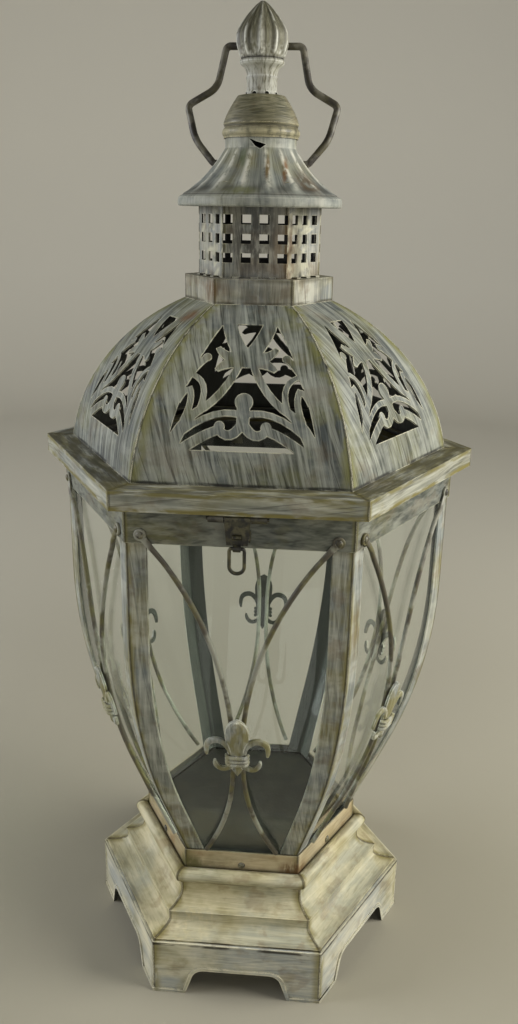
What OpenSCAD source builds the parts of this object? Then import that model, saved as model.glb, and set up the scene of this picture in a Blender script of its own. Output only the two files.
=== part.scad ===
// Hexagonal floor lantern: stepped sheet-metal foot, six bowed panes between folded
// corner posts, and a hinged lid with a pierced dome, chimney, fluted canopy and finial.
// Origin at the bottom centre, +Z up, latch on the -Y side, hinge on the +Y side.
// Widths named "flat" run from the axis square to a side; a corner lies flat / cos(30) out.

/* [Sheet metal and fits] */
// Thickness of the steel sheet
sheet = 1; // [0.7:0.1:1.4]
// Thickness of the glass
glass_t = 2; // [1.5:0.25:3]
// Gap between the glass and the metal round it
glass_gap = 0.15; // [0.1:0.05:0.3]
// Gap between fixed pieces that are seated on each other
seat_gap = 0.1; // [0.05:0.05:0.2]
// Gap between pieces that move past each other
run_gap = 0.3; // [0.2:0.05:0.4]
// Radius of a rivet's shank
rivet_r = 1.1; // [0.9:0.1:1.4]
// Radius of a rivet's domed head
rivet_head_r = 2.2; // [1.8:0.1:2.8]
// Radius of the smaller rivet heads inside the ledge
ledge_head_r = 1.8; // [1.6:0.1:2]

/* [Foot and plinth] */
// Height of the bottom skirt with its six arches
foot_h = 40; // [32:1:50]
// Half width of an arch at the floor
arch_foot_w = 34; // [28:1:40]
// Half width of an arch at its top, before its corners are rounded
arch_top_w = 27; // [20:1:30]
// Height of an arch
arch_h = 19.5; // [12:0.5:24]
// Radius of an arch's upper corners
arch_corner_r = 8; // [3:0.5:10]
// Width of the hem turned up along the skirt's lower edge
hem_w = 2.2; // [1.5:0.1:3.5]
// How far the hem stands out from the skirt
hem_out = 0.9; // [0.5:0.1:1.5]
// How far the skirt stands out past the lower moulding
skirt_margin = 1.6; // [0:0.2:3]
// Height of the lower moulding
low_step_h = 11; // [8:0.5:16]
// Width of the lower moulding's cove
low_cove_w = 13.6; // [8:0.2:18]
// Height of the lower moulding's cove
low_cove_h = 4.5; // [2:0.5:7]
// Height of the upper moulding
up_step_h = 16; // [12:0.5:22]
// Width of the upper moulding's cove
up_cove_w = 11.2; // [7:0.2:15]
// Height of the upper moulding's cove
up_cove_h = 8; // [4:0.5:11]
// Height of the upright lip under each cove
lip_h = 1.4; // [0.8:0.2:2.4]
// How far the upper moulding stands out past the collar
plinth_margin = 3.4; // [2:0.2:6]

/* [Collar and floor] */
// Height of the collar that holds the glass
collar_h = 23; // [18:0.5:30]
// Radius of the bead round the collar
bead_r = 4.6; // [3:0.2:6]
// Height of the flat fillet under the bead
fillet_h = 1.4; // [0.8:0.2:2.4]
// How far the floor lies below the collar's top
floor_drop = 4; // [3:0.5:7]
// How far the floor's turned-down rim reaches below the screws
floor_rim_low = 2.4; // [1.5:0.1:3.5]
// Radius of a collar screw's shank
screw_r = 1.2; // [1:0.1:1.6]
// Radius of a collar screw's head
screw_head_r = 2.3; // [2:0.1:3]

/* [Glazed body] */
// Half width of the body across its sides at the top
body_flat = 106.1; // [95:0.5:118]
// Height of the glass that shows between collar and band
glass_h = 231.5; // [215:0.5:245]
// Length of the upright part of the glass below the band
upright_h = 59.5; // [40:0.5:80]
// Radius of the bow below the upright part
bow_r = 340; // [320:1:380]
// Angle that the bow turns through
bow_angle = 21.5; // [18:0.5:23]
// Width of a corner post's flange
post_w = 11; // [8:0.5:14]
// Height of the band round the top
band_h = 20.6; // [16:0.2:26]
// Width of the band's top flange
band_flange = 8; // [6:0.5:10]
// Gap left between two panes at a corner
pane_corner_gap = 0.6; // [0.4:0.1:1.2]
// How far the panes reach up behind the band
pane_in_band = 12.5; // [8:0.5:15]
// Width of a glass clip
clip_w = 8; // [5:0.5:12]
// Distance of a glass clip from the middle of its side
clip_y = 22; // [15:1:30]
// Length of a glass clip
clip_h = 16; // [12:0.5:18]

/* [Scroll wires and ornament] */
// Radius of the scroll wire
wire_r = 1.5; // [1.2:0.1:1.9]
// Distance of a wire from the middle of its side behind the ornament
wire_waist = 3; // [2:0.2:5]
// Height of the ornament's tie below the band
ornament_drop = 134; // [120:1:145]
// Straight part of the wire behind the ornament
wire_straight = 15; // [10:1:24]
// Distance of the wire's eye from the band's corner
eyelet_edge = 8.8; // [7:0.2:11]
// Distance of the wire's lower end from the post's corner
wire_foot_edge = 8.4; // [6:0.2:11]
// Distance of the wire's rivet below the top of the band
eyelet_drop = 15.4; // [12:0.2:17]
// Radius of the flattened eye at the wire's end
eyelet_r = 3.4; // [2.8:0.1:4]
// Thickness of the flattened eye
eyelet_t = 1.5; // [1:0.1:2]
// How far the wire's lower end stays above the collar
wire_foot_gap = 3; // [1:0.5:8]
// Height of the cast ornament
ornament_h = 44; // [36:1:50]
// Thickness of the cast ornament
ornament_t = 2.6; // [2:0.1:3.5]

/* [Lid ledge and dome] */
// How far the ledge stands out past the band
ledge_out = 9.7; // [8.5:0.1:13]
// Height of the ledge
ledge_h = 11; // [9:0.5:14]
// Width of the ledge's top and bottom sheets
ledge_w = 19; // [17:0.5:22]
// Width of the ledge that shows outside the dome
ledge_shelf = 14.6; // [10:0.2:16]
// Rise of the dome from ledge to collar
dome_rise = 88; // [75:1:100]
// Radius of the dome's arc
dome_r = 116.6; // [105:0.2:140]
// Width of the plain border beside the pierced window
window_side = 16.6; // [12:0.2:20]
// Height of the plain band under the window, along the slope
window_low = 19; // [15:0.5:26]
// Height of the pierced window, along the slope
window_h = 76; // [60:1:80]
// Width of the main scroll stems
stem_w = 4.2; // [3:0.1:5.5]

/* [Chimney] */
// Half width of the box on top of the dome
box_flat = 38.5; // [34:0.5:42]
// Height of the box above the dome
box_h = 13.8; // [10:0.2:18]
// How far the box reaches down into the dome
box_drop = 3; // [1:0.5:5]
// Half width of the chimney
chimney_flat = 31.2; // [28:0.2:33]
// Height of the chimney that shows below the canopy
chimney_h = 38.5; // [32:0.5:42]
// Width of a square hole in the chimney
hole_w = 5.6; // [4:0.1:6]
// Height of a square hole
hole_h = 5.2; // [4:0.1:6]
// Distance from one row of holes to the next
row_pitch = 10.3; // [8:0.1:11]
// Height of the lowest row's middle above the box
hole_z = 11; // [8:0.2:13]
// Width of a solder tab at the foot of the chimney
tab_w = 4; // [3:0.5:6]

/* [Canopy and finial] */
// Radius of the canopy's rim
rim_r = 47.8; // [44:0.2:52]
// Height of the canopy's smooth rim
rim_h = 6.9; // [5:0.1:9]
// Radius of the canopy's neck
neck_r = 20.4; // [18:0.2:24]
// Height of the fluted flank
flank_h = 29; // [24:0.5:34]
// Radius of the flank's inward curve
flank_r = 94; // [70:1:130]
// Number of flutes
flutes = 16; // [12:1:20]
// Height of the ridges between the flutes
ridge_h = 1.5; // [0.8:0.1:2]
// How far the cap's bead stands out past the canopy's neck
cap_out = 1.6; // [1.3:0.1:3]
// Height of the cap
cap_h = 20; // [16:0.5:24]
// Radius of the cap's flat top
cap_top_r = 13.2; // [11:0.2:15]
// Depth of the neck that the cap slides over
neck_h = 3; // [2:0.2:5]
// Radius of the cap's bead section
cap_bead_r = 3; // [2:0.2:3.6]
// Radius of the rod that holds the finial
rod_r = 2.5; // [2:0.1:3]
// Half width of the finial's nut
nut_flat = 4.2; // [3.6:0.1:5]
// Thickness of the finial's nut
nut_h = 3; // [2:0.2:4]
// Height of the finial's foot, neck and cup
stem_h = 18.6; // [15:0.2:22]
// Height of the finial's bulb
bulb_h = 28.8; // [25:0.2:34]
// Radius of the finial's bulb
bulb_r = 15; // [13:0.2:17]
// Number of lobes on the bulb
lobes = 10; // [8:1:14]
// Depth of the grooves between the lobes
lobe_depth = 1.6; // [0.8:0.1:2.2]

/* [Bail handle] */
// Radius of the handle's wire
bail_r = 2; // [1.6:0.1:2.4]
// Height of the handle's pivot above the canopy's rim
bail_pivot_z = 23.3; // [21:0.1:25]
// How far the handle's ends reach inside the canopy
bail_end = 6; // [4:0.5:9]
// How far the handle runs straight out of the canopy before it bends up
bail_stub = 2.4; // [2.2:0.1:4]
// Half width of the handle at its knees
knee_w = 38.4; // [37:0.2:41]
// Height of the knees above the pivot
knee_s = 13.5; // [11:0.5:16]
// Half width of the handle at its shoulders
shoulder_w = 43.2; // [42:0.2:47]
// Height of the shoulders above the pivot
shoulder_s = 32.5; // [29:0.5:36]
// Half width of the handle above its shoulders
bail_neck_w = 26.4; // [25:0.2:29]
// Height of the narrow part above the pivot
bail_neck_s = 42.3; // [40:0.5:48]
// Half width of the grip
grip_w = 21.8; // [20:0.2:24]
// Length of the handle from pivot to grip
bail_len = 65.8; // [62:0.2:70]

/* [Hinge and hasp] */
// Width of the lid's hinge
hinge_w = 40; // [30:1:50]
// Radius of a hinge knuckle
knuckle_r = 2.5; // [2:0.1:3]
// Radius of the hinge and hasp pins
pin_r = 1; // [0.8:0.1:1.2]
// Gap round a pin in its knuckle
pin_gap = 0.08; // [0.04:0.02:0.1]
// Height of the hinge leaf on the band
leaf_h = 13; // [10:0.5:14]
// Half width of the hasp's bracket
bracket_w = 15.5; // [13:0.5:20]
// Half width of the hasp at its pin
hasp_w = 7; // [6:0.5:9]
// Half width of the hasp at its shoulders
hasp_low_w = 5.6; // [4.5:0.1:7]
// Length of the hasp from its pin to the ring's pin
hasp_len = 15.4; // [14.6:0.2:18]
// Radius of a hasp knuckle
hasp_knuckle_r = 1.9; // [1.7:0.1:2.2]
// Half width of the hasp's rolled tab that holds the ring
tab_half = 2; // [1.6:0.1:2.3]
// Radius of the pull ring's wire
ring_r = 1; // [0.8:0.1:1.1]
// Half width of the pull ring, to the middle of its wire
ring_w = 4; // [3.8:0.1:5]
// Length of the pull ring, to the middle of its wire
ring_len = 14; // [11:0.5:18]
// Half width of the keeper's lug
keeper_w = 2; // [1.5:0.1:2.5]
// Thickness of the keeper's lug
keeper_t = 1.2; // [0.8:0.1:1.5]
// Depth of the keeper's lug below the hasp's pin
keeper_drop = 9.2; // [8.6:0.1:10]
// How far the keeper's lug stands out past the hasp
keeper_out = 1.6; // [1:0.2:2.5]

/* [Hidden] */
$fn = 96;
wire_sides = 8;      // sides of a bent wire that is swept along its path
bend_steps = 4;      // steps in each bend of a wire or outline
side_tan = tan(30);
reach = 400;         // longer than any half width, for cutting shapes
sides = [0 : 5];
back_side = 1;
front_side = 4;

// Heights of the main levels, from the floor up
plinth_top = foot_h + low_step_h + up_step_h;
collar_top = plinth_top + collar_h;
floor_top = collar_top - floor_drop;
band_bottom = collar_top + glass_h;
band_top = band_bottom + band_h;
ledge_bottom = band_top + run_gap;
ledge_top = ledge_bottom + ledge_h;
dome_top = ledge_top + dome_rise;
box_top = dome_top + box_h;
rim_bottom = box_top + chimney_h;
flank_bottom = rim_bottom + rim_h;
neck_z = flank_bottom + flank_h;
canopy_top = neck_z + neck_h;
cap_top = canopy_top + cap_h;
bulb_bottom = cap_top + stem_h;

// The bowed outline of the glazed body: upright, an arc, then a straight slope
bow_top = band_bottom - upright_h;
bow_bottom = bow_top - bow_r * sin(bow_angle);
function body_at(z) =
    z >= bow_top ? body_flat
    : z >= bow_bottom ? body_flat - bow_r + sqrt(bow_r * bow_r - (bow_top - z) * (bow_top - z))
    : body_flat - bow_r * (1 - cos(bow_angle)) - (bow_bottom - z) * tan(bow_angle);
function body_tilt(z) =
    z >= bow_top ? 0 : z >= bow_bottom ? asin((bow_top - z) / bow_r) : bow_angle;

// Half widths that follow from the body and from the steps of the plinth
band_flat = body_flat + sheet;
collar_flat = body_at(collar_top) + glass_gap + sheet;
up_flat = collar_flat + plinth_margin;
up_out = up_flat + up_cove_w;
low_out = up_out + low_cove_w;
foot_flat = low_out + skirt_margin;
ledge_flat = band_flat + ledge_out;
dome_flat = ledge_flat - ledge_shelf;

// ---- Functions ----

function unit(v) = v / norm(v);

// Centre of the arc of radius r from a to b, on the left of the way from a to b
function arc_centre(a, b, r) =
    let (m = (a + b) / 2, d = b - a, n = [-d[1], d[0]] / norm(d))
    m + n * sqrt(r * r - norm(d) * norm(d) / 4);

// Radius of an arc that leaves a line at a tangent and is drop aside after a run
function swing_radius(run, aside) = (run * run + aside * aside) / (2 * aside);

// A path's corner b turned into an arc of radius r
function bend(a, b, c, r, n = bend_steps) =
    let (u = unit(a - b), v = unit(c - b), half = acos(u * v) / 2,
         centre = b + unit(u + v) * r / sin(half),
         p = b + u * r / tan(half) - centre, q = b + v * r / tan(half) - centre,
         turn = 180 - 2 * half)
    [for (i = [0 : n]) centre + (sin((1 - i / n) * turn) * p + sin(i / n * turn) * q) / sin(turn)];
function bent(pts, radii) =
    concat([pts[0]],
           [for (i = [1 : len(pts) - 2]) each bend(pts[i - 1], pts[i], pts[i + 1], radii[i - 1])],
           [pts[len(pts) - 1]]);

function reversed(list) = [for (i = [len(list) - 1 : -1 : 0]) list[i]];
function mirrored(pts) = [for (p = reversed(pts)) [-p[0], p[1]]];

// Points of the curve from a to c that is pulled towards b
function curve(a, b, c, n = 6) =
    [for (i = [0 : n]) let (t = i / n) (1 - t) * (1 - t) * a + 2 * t * (1 - t) * b + t * t * c];

// A narrow ridge once in every count points round the axis, 0 between and 1 on top
ridge_points = 6;
function ridge(k) = pow((1 - cos(360 * k / ridge_points)) / 2, 2);

// ---- Shared shapes ----

module at_side(i) { rotate(30 + 60 * i) children(); }

module at_sides() { for (i = sides) at_side(i) children(); }

module hex(flat, h, z) { translate([0, 0, z]) cylinder(h = h, r = flat / cos(30), $fn = 6); }

module hex_ring(flat_out, flat_in, h, z) {
    difference() {
        hex(flat_out, h, z);
        hex(flat_in, h + 2, z - 1);
    }
}

// The part of the plan that belongs to one side, short of the corner planes by gap
module side_wedge(z0, z1, gap = 0) {
    translate([0, 0, z0]) linear_extrude(z1 - z0)
        polygon([[gap / side_tan, 0], [reach, gap - reach * side_tan], [reach, reach * side_tan - gap]]);
}

// A drawing in (along the side, up), made into a plate of thickness t outside x
module on_side(x, t) { translate([x, 0, 0]) rotate([90, 0, 90]) linear_extrude(t) children(); }

// A round bar along the side through (x, z), from one place along it to another
module bar_along(x, z, r, y0, y1, fn = 48) {
    translate([x, y1, z]) rotate([90, 0, 0]) cylinder(h = y1 - y0, r = r, $fn = fn);
}

// Everything inside the bowed outline of one side, inset from it, between two heights
bow_steps = 10;
function bow_arc(inset) = [for (i = [0 : bow_steps]) let (a = bow_angle * i / bow_steps)
                           [body_flat - bow_r, bow_top] + (bow_r - inset) * [cos(a), -sin(a)]];
module bowed_block(inset, z0, z1) {
    bow = bow_arc(inset);
    low = bow[bow_steps] - reach * [sin(bow_angle), cos(bow_angle)];
    back = low[0] - reach;
    rotate([90, 0, 0]) linear_extrude(reach, center = true) intersection() {
        polygon(concat([[back, reach], [body_flat - inset, reach]], bow, [low, [back, low[1]]]));
        translate([0, z0]) square([reach, z1 - z0]);
    }
}

// Walls between rings of n points each, closed in a loop or capped at both ends
module skin(points, n, loop = false) {
    rings = len(points) / n;
    walls = [for (i = [0 : rings - (loop ? 1 : 2)]) for (k = [0 : n - 1])
             let (m = (k + 1) % n, j = (i + 1) % rings)
             each [[i * n + k, j * n + k, j * n + m], [i * n + k, j * n + m, i * n + m]]];
    caps = loop ? [] : [[for (k = [0 : n - 1]) k], [for (k = [n - 1 : -1 : 0]) (rings - 1) * n + k]];
    polyhedron(points = [for (p = points) p], faces = concat(walls, caps));
}

// A round wire swept along a path; ref is a direction that the path never takes
module swept_wire(path, r, ref, loop = false) {
    last = len(path) - 1;
    function next(i) = loop ? path[(i + 1) % (last + 1)] : path[min(i + 1, last)];
    function before(i) = loop ? path[(i + last) % (last + 1)] : path[max(i - 1, 0)];
    skin([for (i = [0 : last])
              let (t = unit(next(i) - before(i)), a = unit(ref - (ref * t) * t), b = cross(t, a))
              for (k = [0 : wire_sides - 1])
                  path[i] + r * (cos(k * 360 / wire_sides) * a + sin(k * 360 / wire_sides) * b)],
         wire_sides, loop);
}

// Rows of [height, radius, ridge height] made into points with count ridges round the axis
function ridged(rows, count) =
    let (n = count * ridge_points)
    [for (row = rows) for (k = [0 : n - 1]) let (r = row[1] + row[2] * ridge(k))
     [r * cos(k * 360 / n), r * sin(k * 360 / n), row[0]]];

// A rivet along +X: its shank starts at the origin and its head sits at x = grip
module rivet(grip, head_r = rivet_head_r) {
    rotate([0, 90, 0]) cylinder(h = grip, r = rivet_r, $fn = 24);
    round_head(grip, head_r);
}

// A low domed head on the plane at x
module round_head(x, r) {
    high = 0.52 * r;
    dome = [for (a = [0 : 18 : 72]) [r * cos(a), high * sin(a)]];
    translate([x, 0, 0]) rotate([0, 90, 0]) rotate_extrude($fn = 24)
        polygon(concat([[0, 0]], dome, [[0, high]]));
}

module rivet_hole(x0, x1) {
    translate([x0, 0, 0]) rotate([0, 90, 0]) cylinder(h = x1 - x0, r = rivet_r + seat_gap, $fn = 24);
}

// ---- Foot, plinth, collar and floor ----

foot_flange = 10;    // width of the skirt's top flange under the plinth

// Outline of an arch that is larger than the opening by grow
function arch(grow) =
    let (top = arch_h + grow,
         corner = bend([arch_foot_w + grow, 0], [arch_top_w + grow, top], [0, top],
                       arch_corner_r + grow, 6),
         half = concat([[arch_foot_w + grow, -1]], corner))
    concat(half, mirrored(half));

module whole_skirt() {
    difference() {
        union() {
            hex_ring(foot_flat, foot_flat - sheet, foot_h, 0);
            hex_ring(foot_flat - sheet / 2, foot_flat - foot_flange, sheet, foot_h - sheet);
            at_sides() intersection() {
                on_side(foot_flat - sheet / 2, sheet / 2 + hem_out) difference() {
                    union() {
                        translate([-reach / 2, 0]) square([reach, hem_w]);
                        polygon(arch(hem_w));
                    }
                    translate([-reach / 2, -reach]) square(reach);
                }
                side_wedge(-1, foot_h);
            }
        }
        at_sides() on_side(foot_flat - 3 * sheet, 5 * sheet + hem_out) polygon(arch(0));
    }
}

// Each half is a strip of three sides, and they meet at the left and right corners
module skirt_half(turn) {
    intersection() {
        whole_skirt();
        rotate(turn) translate([-reach, 0, -1]) cube([2 * reach, reach, foot_h + 2]);
    }
}
module foot_skirt_front() { color("lightsteelblue") skirt_half(180); }
module foot_skirt_back() { color("lightsteelblue") skirt_half(0); }

// A hollow quarter round from an outer low point to an inner high one
function cove(x0, z0, x1, z1, n = 8) =
    [for (i = [0 : n]) let (t = 90 * i / n) [x0 - (x0 - x1) * sin(t), z1 - (z1 - z0) * cos(t)]];

collar_seat = 6;     // width of the plinth's inner flange under the collar

module base_plinth() {
    low_top = foot_h + low_step_h;
    face = concat(
        [[low_out, foot_h]],
        cove(low_out, foot_h + lip_h, up_out, foot_h + lip_h + low_cove_h),
        [[up_out, low_top]],
        cove(up_out + lip_h / 2, low_top + lip_h, up_flat, low_top + lip_h + up_cove_h),
        [[up_flat, plinth_top]]);
    inside = [for (i = [len(face) - 1 : -1 : 1]) face[i] - [sheet, sheet]];
    seat = [[collar_flat - collar_seat, plinth_top], [collar_flat - collar_seat, plinth_top - sheet]];
    color("wheat") rotate_extrude($fn = 6) scale([1 / cos(30), 1])
        polygon(concat(face, seat, inside, [[low_out - sheet, foot_h]]));
}

// The rolled bead and its flat fillet lie round the foot of the collar
bead_z = plinth_top + fillet_h + bead_r;
screw_z = bead_z + bead_r + screw_head_r + seat_gap;

module bead_ring() {
    steps = 14;
    start = -acos(sheet / bead_r);
    end = acos(sheet / bead_r - 1);
    middle = [collar_flat + bead_r - sheet, bead_z];
    roll = [for (i = [0 : steps]) let (a = start + (end - start) * i / steps)
            middle + bead_r * [cos(a), sin(a)]];
    color("wheat") rotate_extrude($fn = 6) scale([1 / cos(30), 1])
        polygon(concat([[collar_flat, plinth_top], [collar_flat + bead_r, plinth_top]], roll));
}

module collar_screw_holes() {
    at_sides() translate([collar_flat - 3 * sheet, 0, screw_z]) rotate([0, 90, 0])
        cylinder(h = 4 * sheet, r = screw_r + seat_gap, $fn = 24);
}

module base_collar() {
    color("tan") difference() {
        hex_ring(collar_flat, collar_flat - sheet, collar_h, plinth_top);
        collar_screw_holes();
    }
}

module collar_screws() {
    slot_w = 0.6;
    color("dimgray") at_sides() translate([collar_flat - 3 * sheet, 0, screw_z]) difference() {
        union() {
            rotate([0, 90, 0]) cylinder(h = 3 * sheet, r = screw_r, $fn = 24);
            round_head(3 * sheet, screw_head_r);
        }
        translate([3 * sheet + screw_head_r / 4, -2 * screw_head_r, -slot_w / 2])
            cube([screw_head_r, 4 * screw_head_r, slot_w]);
    }
}

module floor_plate() {
    flat = collar_flat - sheet - seat_gap;
    rim_low = screw_z - screw_r - floor_rim_low;
    color("darkslategray") difference() {
        hex(flat, floor_top - rim_low, rim_low);
        hex(flat - sheet, floor_top - rim_low, rim_low - sheet);
        collar_screw_holes();
    }
}

// ---- Glazed body ----

post_bottom = floor_top + seat_gap;
post_top = band_top - sheet - seat_gap;
pane_top = band_bottom + pane_in_band;

// The scroll wires spring from the waist behind the ornament's tie
tie_z = band_bottom - ornament_drop;
tie_tilt = body_tilt(tie_z);
wire_foot_z = collar_top + wire_foot_gap;
eyelet_z = band_top - eyelet_drop;
eyelet_y = band_flat * side_tan - eyelet_edge;
wire_up = eyelet_z - tie_z - wire_straight / 2;
wire_down = tie_z - wire_straight / 2 - wire_foot_z;
wire_up_r = swing_radius(wire_up, eyelet_y - wire_waist);
wire_low_r = swing_radius(wire_down, body_at(wire_foot_z) * side_tan - wire_foot_edge - wire_waist);
function swing(r, run) = run > 0 ? r - sqrt(r * r - run * run) : 0;
function wire_y(z) = wire_waist + swing(wire_up_r, z - tie_z - wire_straight / 2)
                     + swing(wire_low_r, tie_z - wire_straight / 2 - z);

module eyelet_holes(x0, x1) {
    at_sides() for (s = [-1, 1]) translate([0, s * eyelet_y, eyelet_z]) rivet_hole(x0, x1);
}

// The bowed outline of a side from the post's bottom to its top, inset from the outside
function post_rows(inset) =
    let (arc = reversed(bow_arc(inset)))
    concat([arc[0] - (arc[0][1] - post_bottom) * [tan(bow_angle), 1]], arc,
           [[body_flat - inset, post_top]]);

// One level of a strip folded over the corner at angle 0, from its outer and inner point
function fold(outer, inner) =
    let (half = post_w * cos(30))
    [for (p = [[outer, 0], [outer, 1], [inner, 1], [inner, 0], [inner, -1], [outer, -1]])
        [p[0][0] / cos(30) - abs(p[1]) * half * side_tan, p[1] * half, p[0][1]]];

module corner_post(i) {
    outside = post_rows(0);
    inside = post_rows(sheet);
    color("silver") difference() {
        rotate(60 * i) skin([for (k = [0 : len(outside) - 1]) each fold(outside[k], inside[k])], 6);
        eyelet_holes(body_flat - 2 * sheet, band_flat);
    }
}

module glass_pane(i) {
    face = sheet + glass_gap;
    color("lightcyan", 0.4) at_side(i) intersection() {
        difference() {
            bowed_block(face, post_bottom, pane_top);
            bowed_block(face + glass_t, post_bottom - 1, pane_top + 1);
        }
        side_wedge(post_bottom, pane_top, pane_corner_gap);
    }
}

module top_band() {
    color("slategray") difference() {
        union() {
            hex_ring(band_flat, body_flat, band_h, band_bottom);
            hex_ring(band_flat - sheet / 2, body_flat - band_flange, sheet, band_top - sheet);
        }
        eyelet_holes(body_flat - sheet, band_flat + sheet);
        at_side(back_side) hinge_rivet_places() rivet_hole(-sheet, 3 * sheet);
        at_side(front_side) keeper_rivet_places() rivet_hole(-sheet, 3 * sheet);
    }
}

module glass_clips() {
    pane_inner = body_flat - sheet - glass_gap - glass_t;
    color("gray") at_sides() for (s = [-1, 1])
        translate([pane_inner - glass_gap - sheet, s * clip_y - clip_w / 2, band_top - sheet - clip_h])
            cube([sheet, clip_w, clip_h]);
}

// ---- Scroll wires and cast ornament ----

module scroll_wires(i) {
    steps = 20;
    lie = wire_r + seat_gap;
    ramp = 10;           // height over which the wire steps out over the band's edge
    eye_x = band_flat + seat_gap;
    top_z = eyelet_z - rivet_head_r - seat_gap;
    function x_at(z) = z > band_bottom - ramp
        ? max(body_flat, body_flat + sheet * min(1, (z - band_bottom + ramp) / (ramp - wire_r))) + lie
        : body_at(z) + lie / cos(body_tilt(z));
    path = [for (k = [0 : steps]) let (z = wire_foot_z + (top_z - wire_foot_z) * k / steps)
            [x_at(z), wire_y(z), z]];
    color("darkkhaki") at_side(i) for (m = [0, 1]) mirror([0, m, 0]) difference() {
        union() {
            swept_wire(path, wire_r, [1, 0, 0]);
            translate([eye_x, eyelet_y, eyelet_z]) rotate([0, 90, 0])
                cylinder(h = eyelet_t, r = eyelet_r, $fn = 32);
        }
        translate([0, eyelet_y, eyelet_z]) rivet_hole(eye_x - sheet, eye_x + 3 * eyelet_t);
    }
}

// A strip along a curve from a to c pulled towards b, that tapers from w0 to w1
module ribbon(a, b, c, w0, w1, n = 6) {
    pts = curve(a, b, c, n);
    ways = [for (i = [0 : n]) let (t = i / n) unit((1 - t) * (b - a) + t * (c - b))];
    sideways = [for (i = [0 : n]) (w0 + (w1 - w0) * i / n) / 2 * [-ways[i][1], ways[i][0]]];
    polygon(concat([for (i = [0 : n]) pts[i] + sideways[i]],
                   reversed([for (i = [0 : n]) pts[i] - sideways[i]])));
}

// The lily is drawn round its tie, 44 units high
module lily_half() {
    // Middle petal and foot
    polygon(concat([[0, -2]], curve([4.4, -2], [6.6, 9], [7, 19]), curve([7, 19], [6.6, 26], [0, 30.5])));
    polygon(concat([[0, 2]], [[5, 2]], curve([5, -4], [5.4, -9], [0, -13.5])));
    // Side petal that turns over and hangs down
    ribbon([3, 4], [6.5, 15.4], [13, 14.4], 3.2, 3.9);
    ribbon([12.6, 14.5], [19.4, 13.8], [17.6, 2.6], 3.8, 2.4);
    // Lower curl
    ribbon([3, -5.6], [9.2, -11.4], [12.6, -5.4], 3, 2.6);
    ribbon([12.2, -6.2], [13.6, -4], [13.3, -1], 2.6, 2);
}

module lily(i) {
    unit_h = ornament_h / 44;
    front = body_at(tie_z) + 2 * (wire_r + seat_gap) / cos(tie_tilt);
    color("gainsboro") at_side(i) translate([front, 0, tie_z]) rotate([0, tie_tilt, 0]) scale(unit_h) {
        on_side(0, ornament_t / unit_h) for (m = [0, 1]) mirror([m, 0]) lily_half();
        for (k = [-1 : 1]) bar_along(ornament_t / unit_h, 2.6 * k, 1.25, -5.7, 5.7, 24);
    }
}

module band_rivets() {
    color("gray") {
        at_sides() for (s = [-1, 1]) translate([body_flat - sheet, s * eyelet_y, eyelet_z])
            rivet(2 * sheet + seat_gap + eyelet_t);
        at_side(back_side) hinge_rivet_places() rivet(2 * sheet);
        at_side(front_side) keeper_rivet_places() rivet(2 * sheet);
    }
}

// ---- Lid: ledge and dome ----

module ledge_rim() {
    color("slategray") difference() {
        hex(ledge_flat, ledge_h, ledge_bottom);
        hex(ledge_flat - sheet, ledge_h - 2 * sheet, ledge_bottom + sheet);
        hex(ledge_flat - ledge_w, ledge_h + 2, ledge_bottom - 1);
        at_side(back_side) lid_rivet_places(upper_leaf_mid, hinge_w) rivet_hole(0, 3 * sheet);
        at_side(front_side) lid_rivet_places(bracket_mid, 2 * bracket_w) rivet_hole(0, 3 * sheet);
    }
}

dome_c = arc_centre([dome_flat, ledge_top], [box_flat + seat_gap, dome_top], dome_r);
deg_per_mm = 180 / (PI * dome_r);
dome_low = asin((ledge_top - dome_c[1]) / dome_r);
window_a0 = dome_low + window_low * deg_per_mm;
window_mid = window_a0 + window_h / 2 * deg_per_mm;

// The window is drawn on a flat plane square to the dome at the window's middle.
// Its half width at a height along the slope, and that height on the drawing:
function window_half(s) =
    (dome_c[0] + dome_r * cos(window_a0 + s * deg_per_mm)) * side_tan - window_side;
function drawn(s) = dome_r * sin((s - window_h / 2) * deg_per_mm);

// A point of the scroll, as shares of the half width there and of the window's height
function sp(x, s) = [x * window_half(s * window_h), drawn(s * window_h)];

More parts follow.
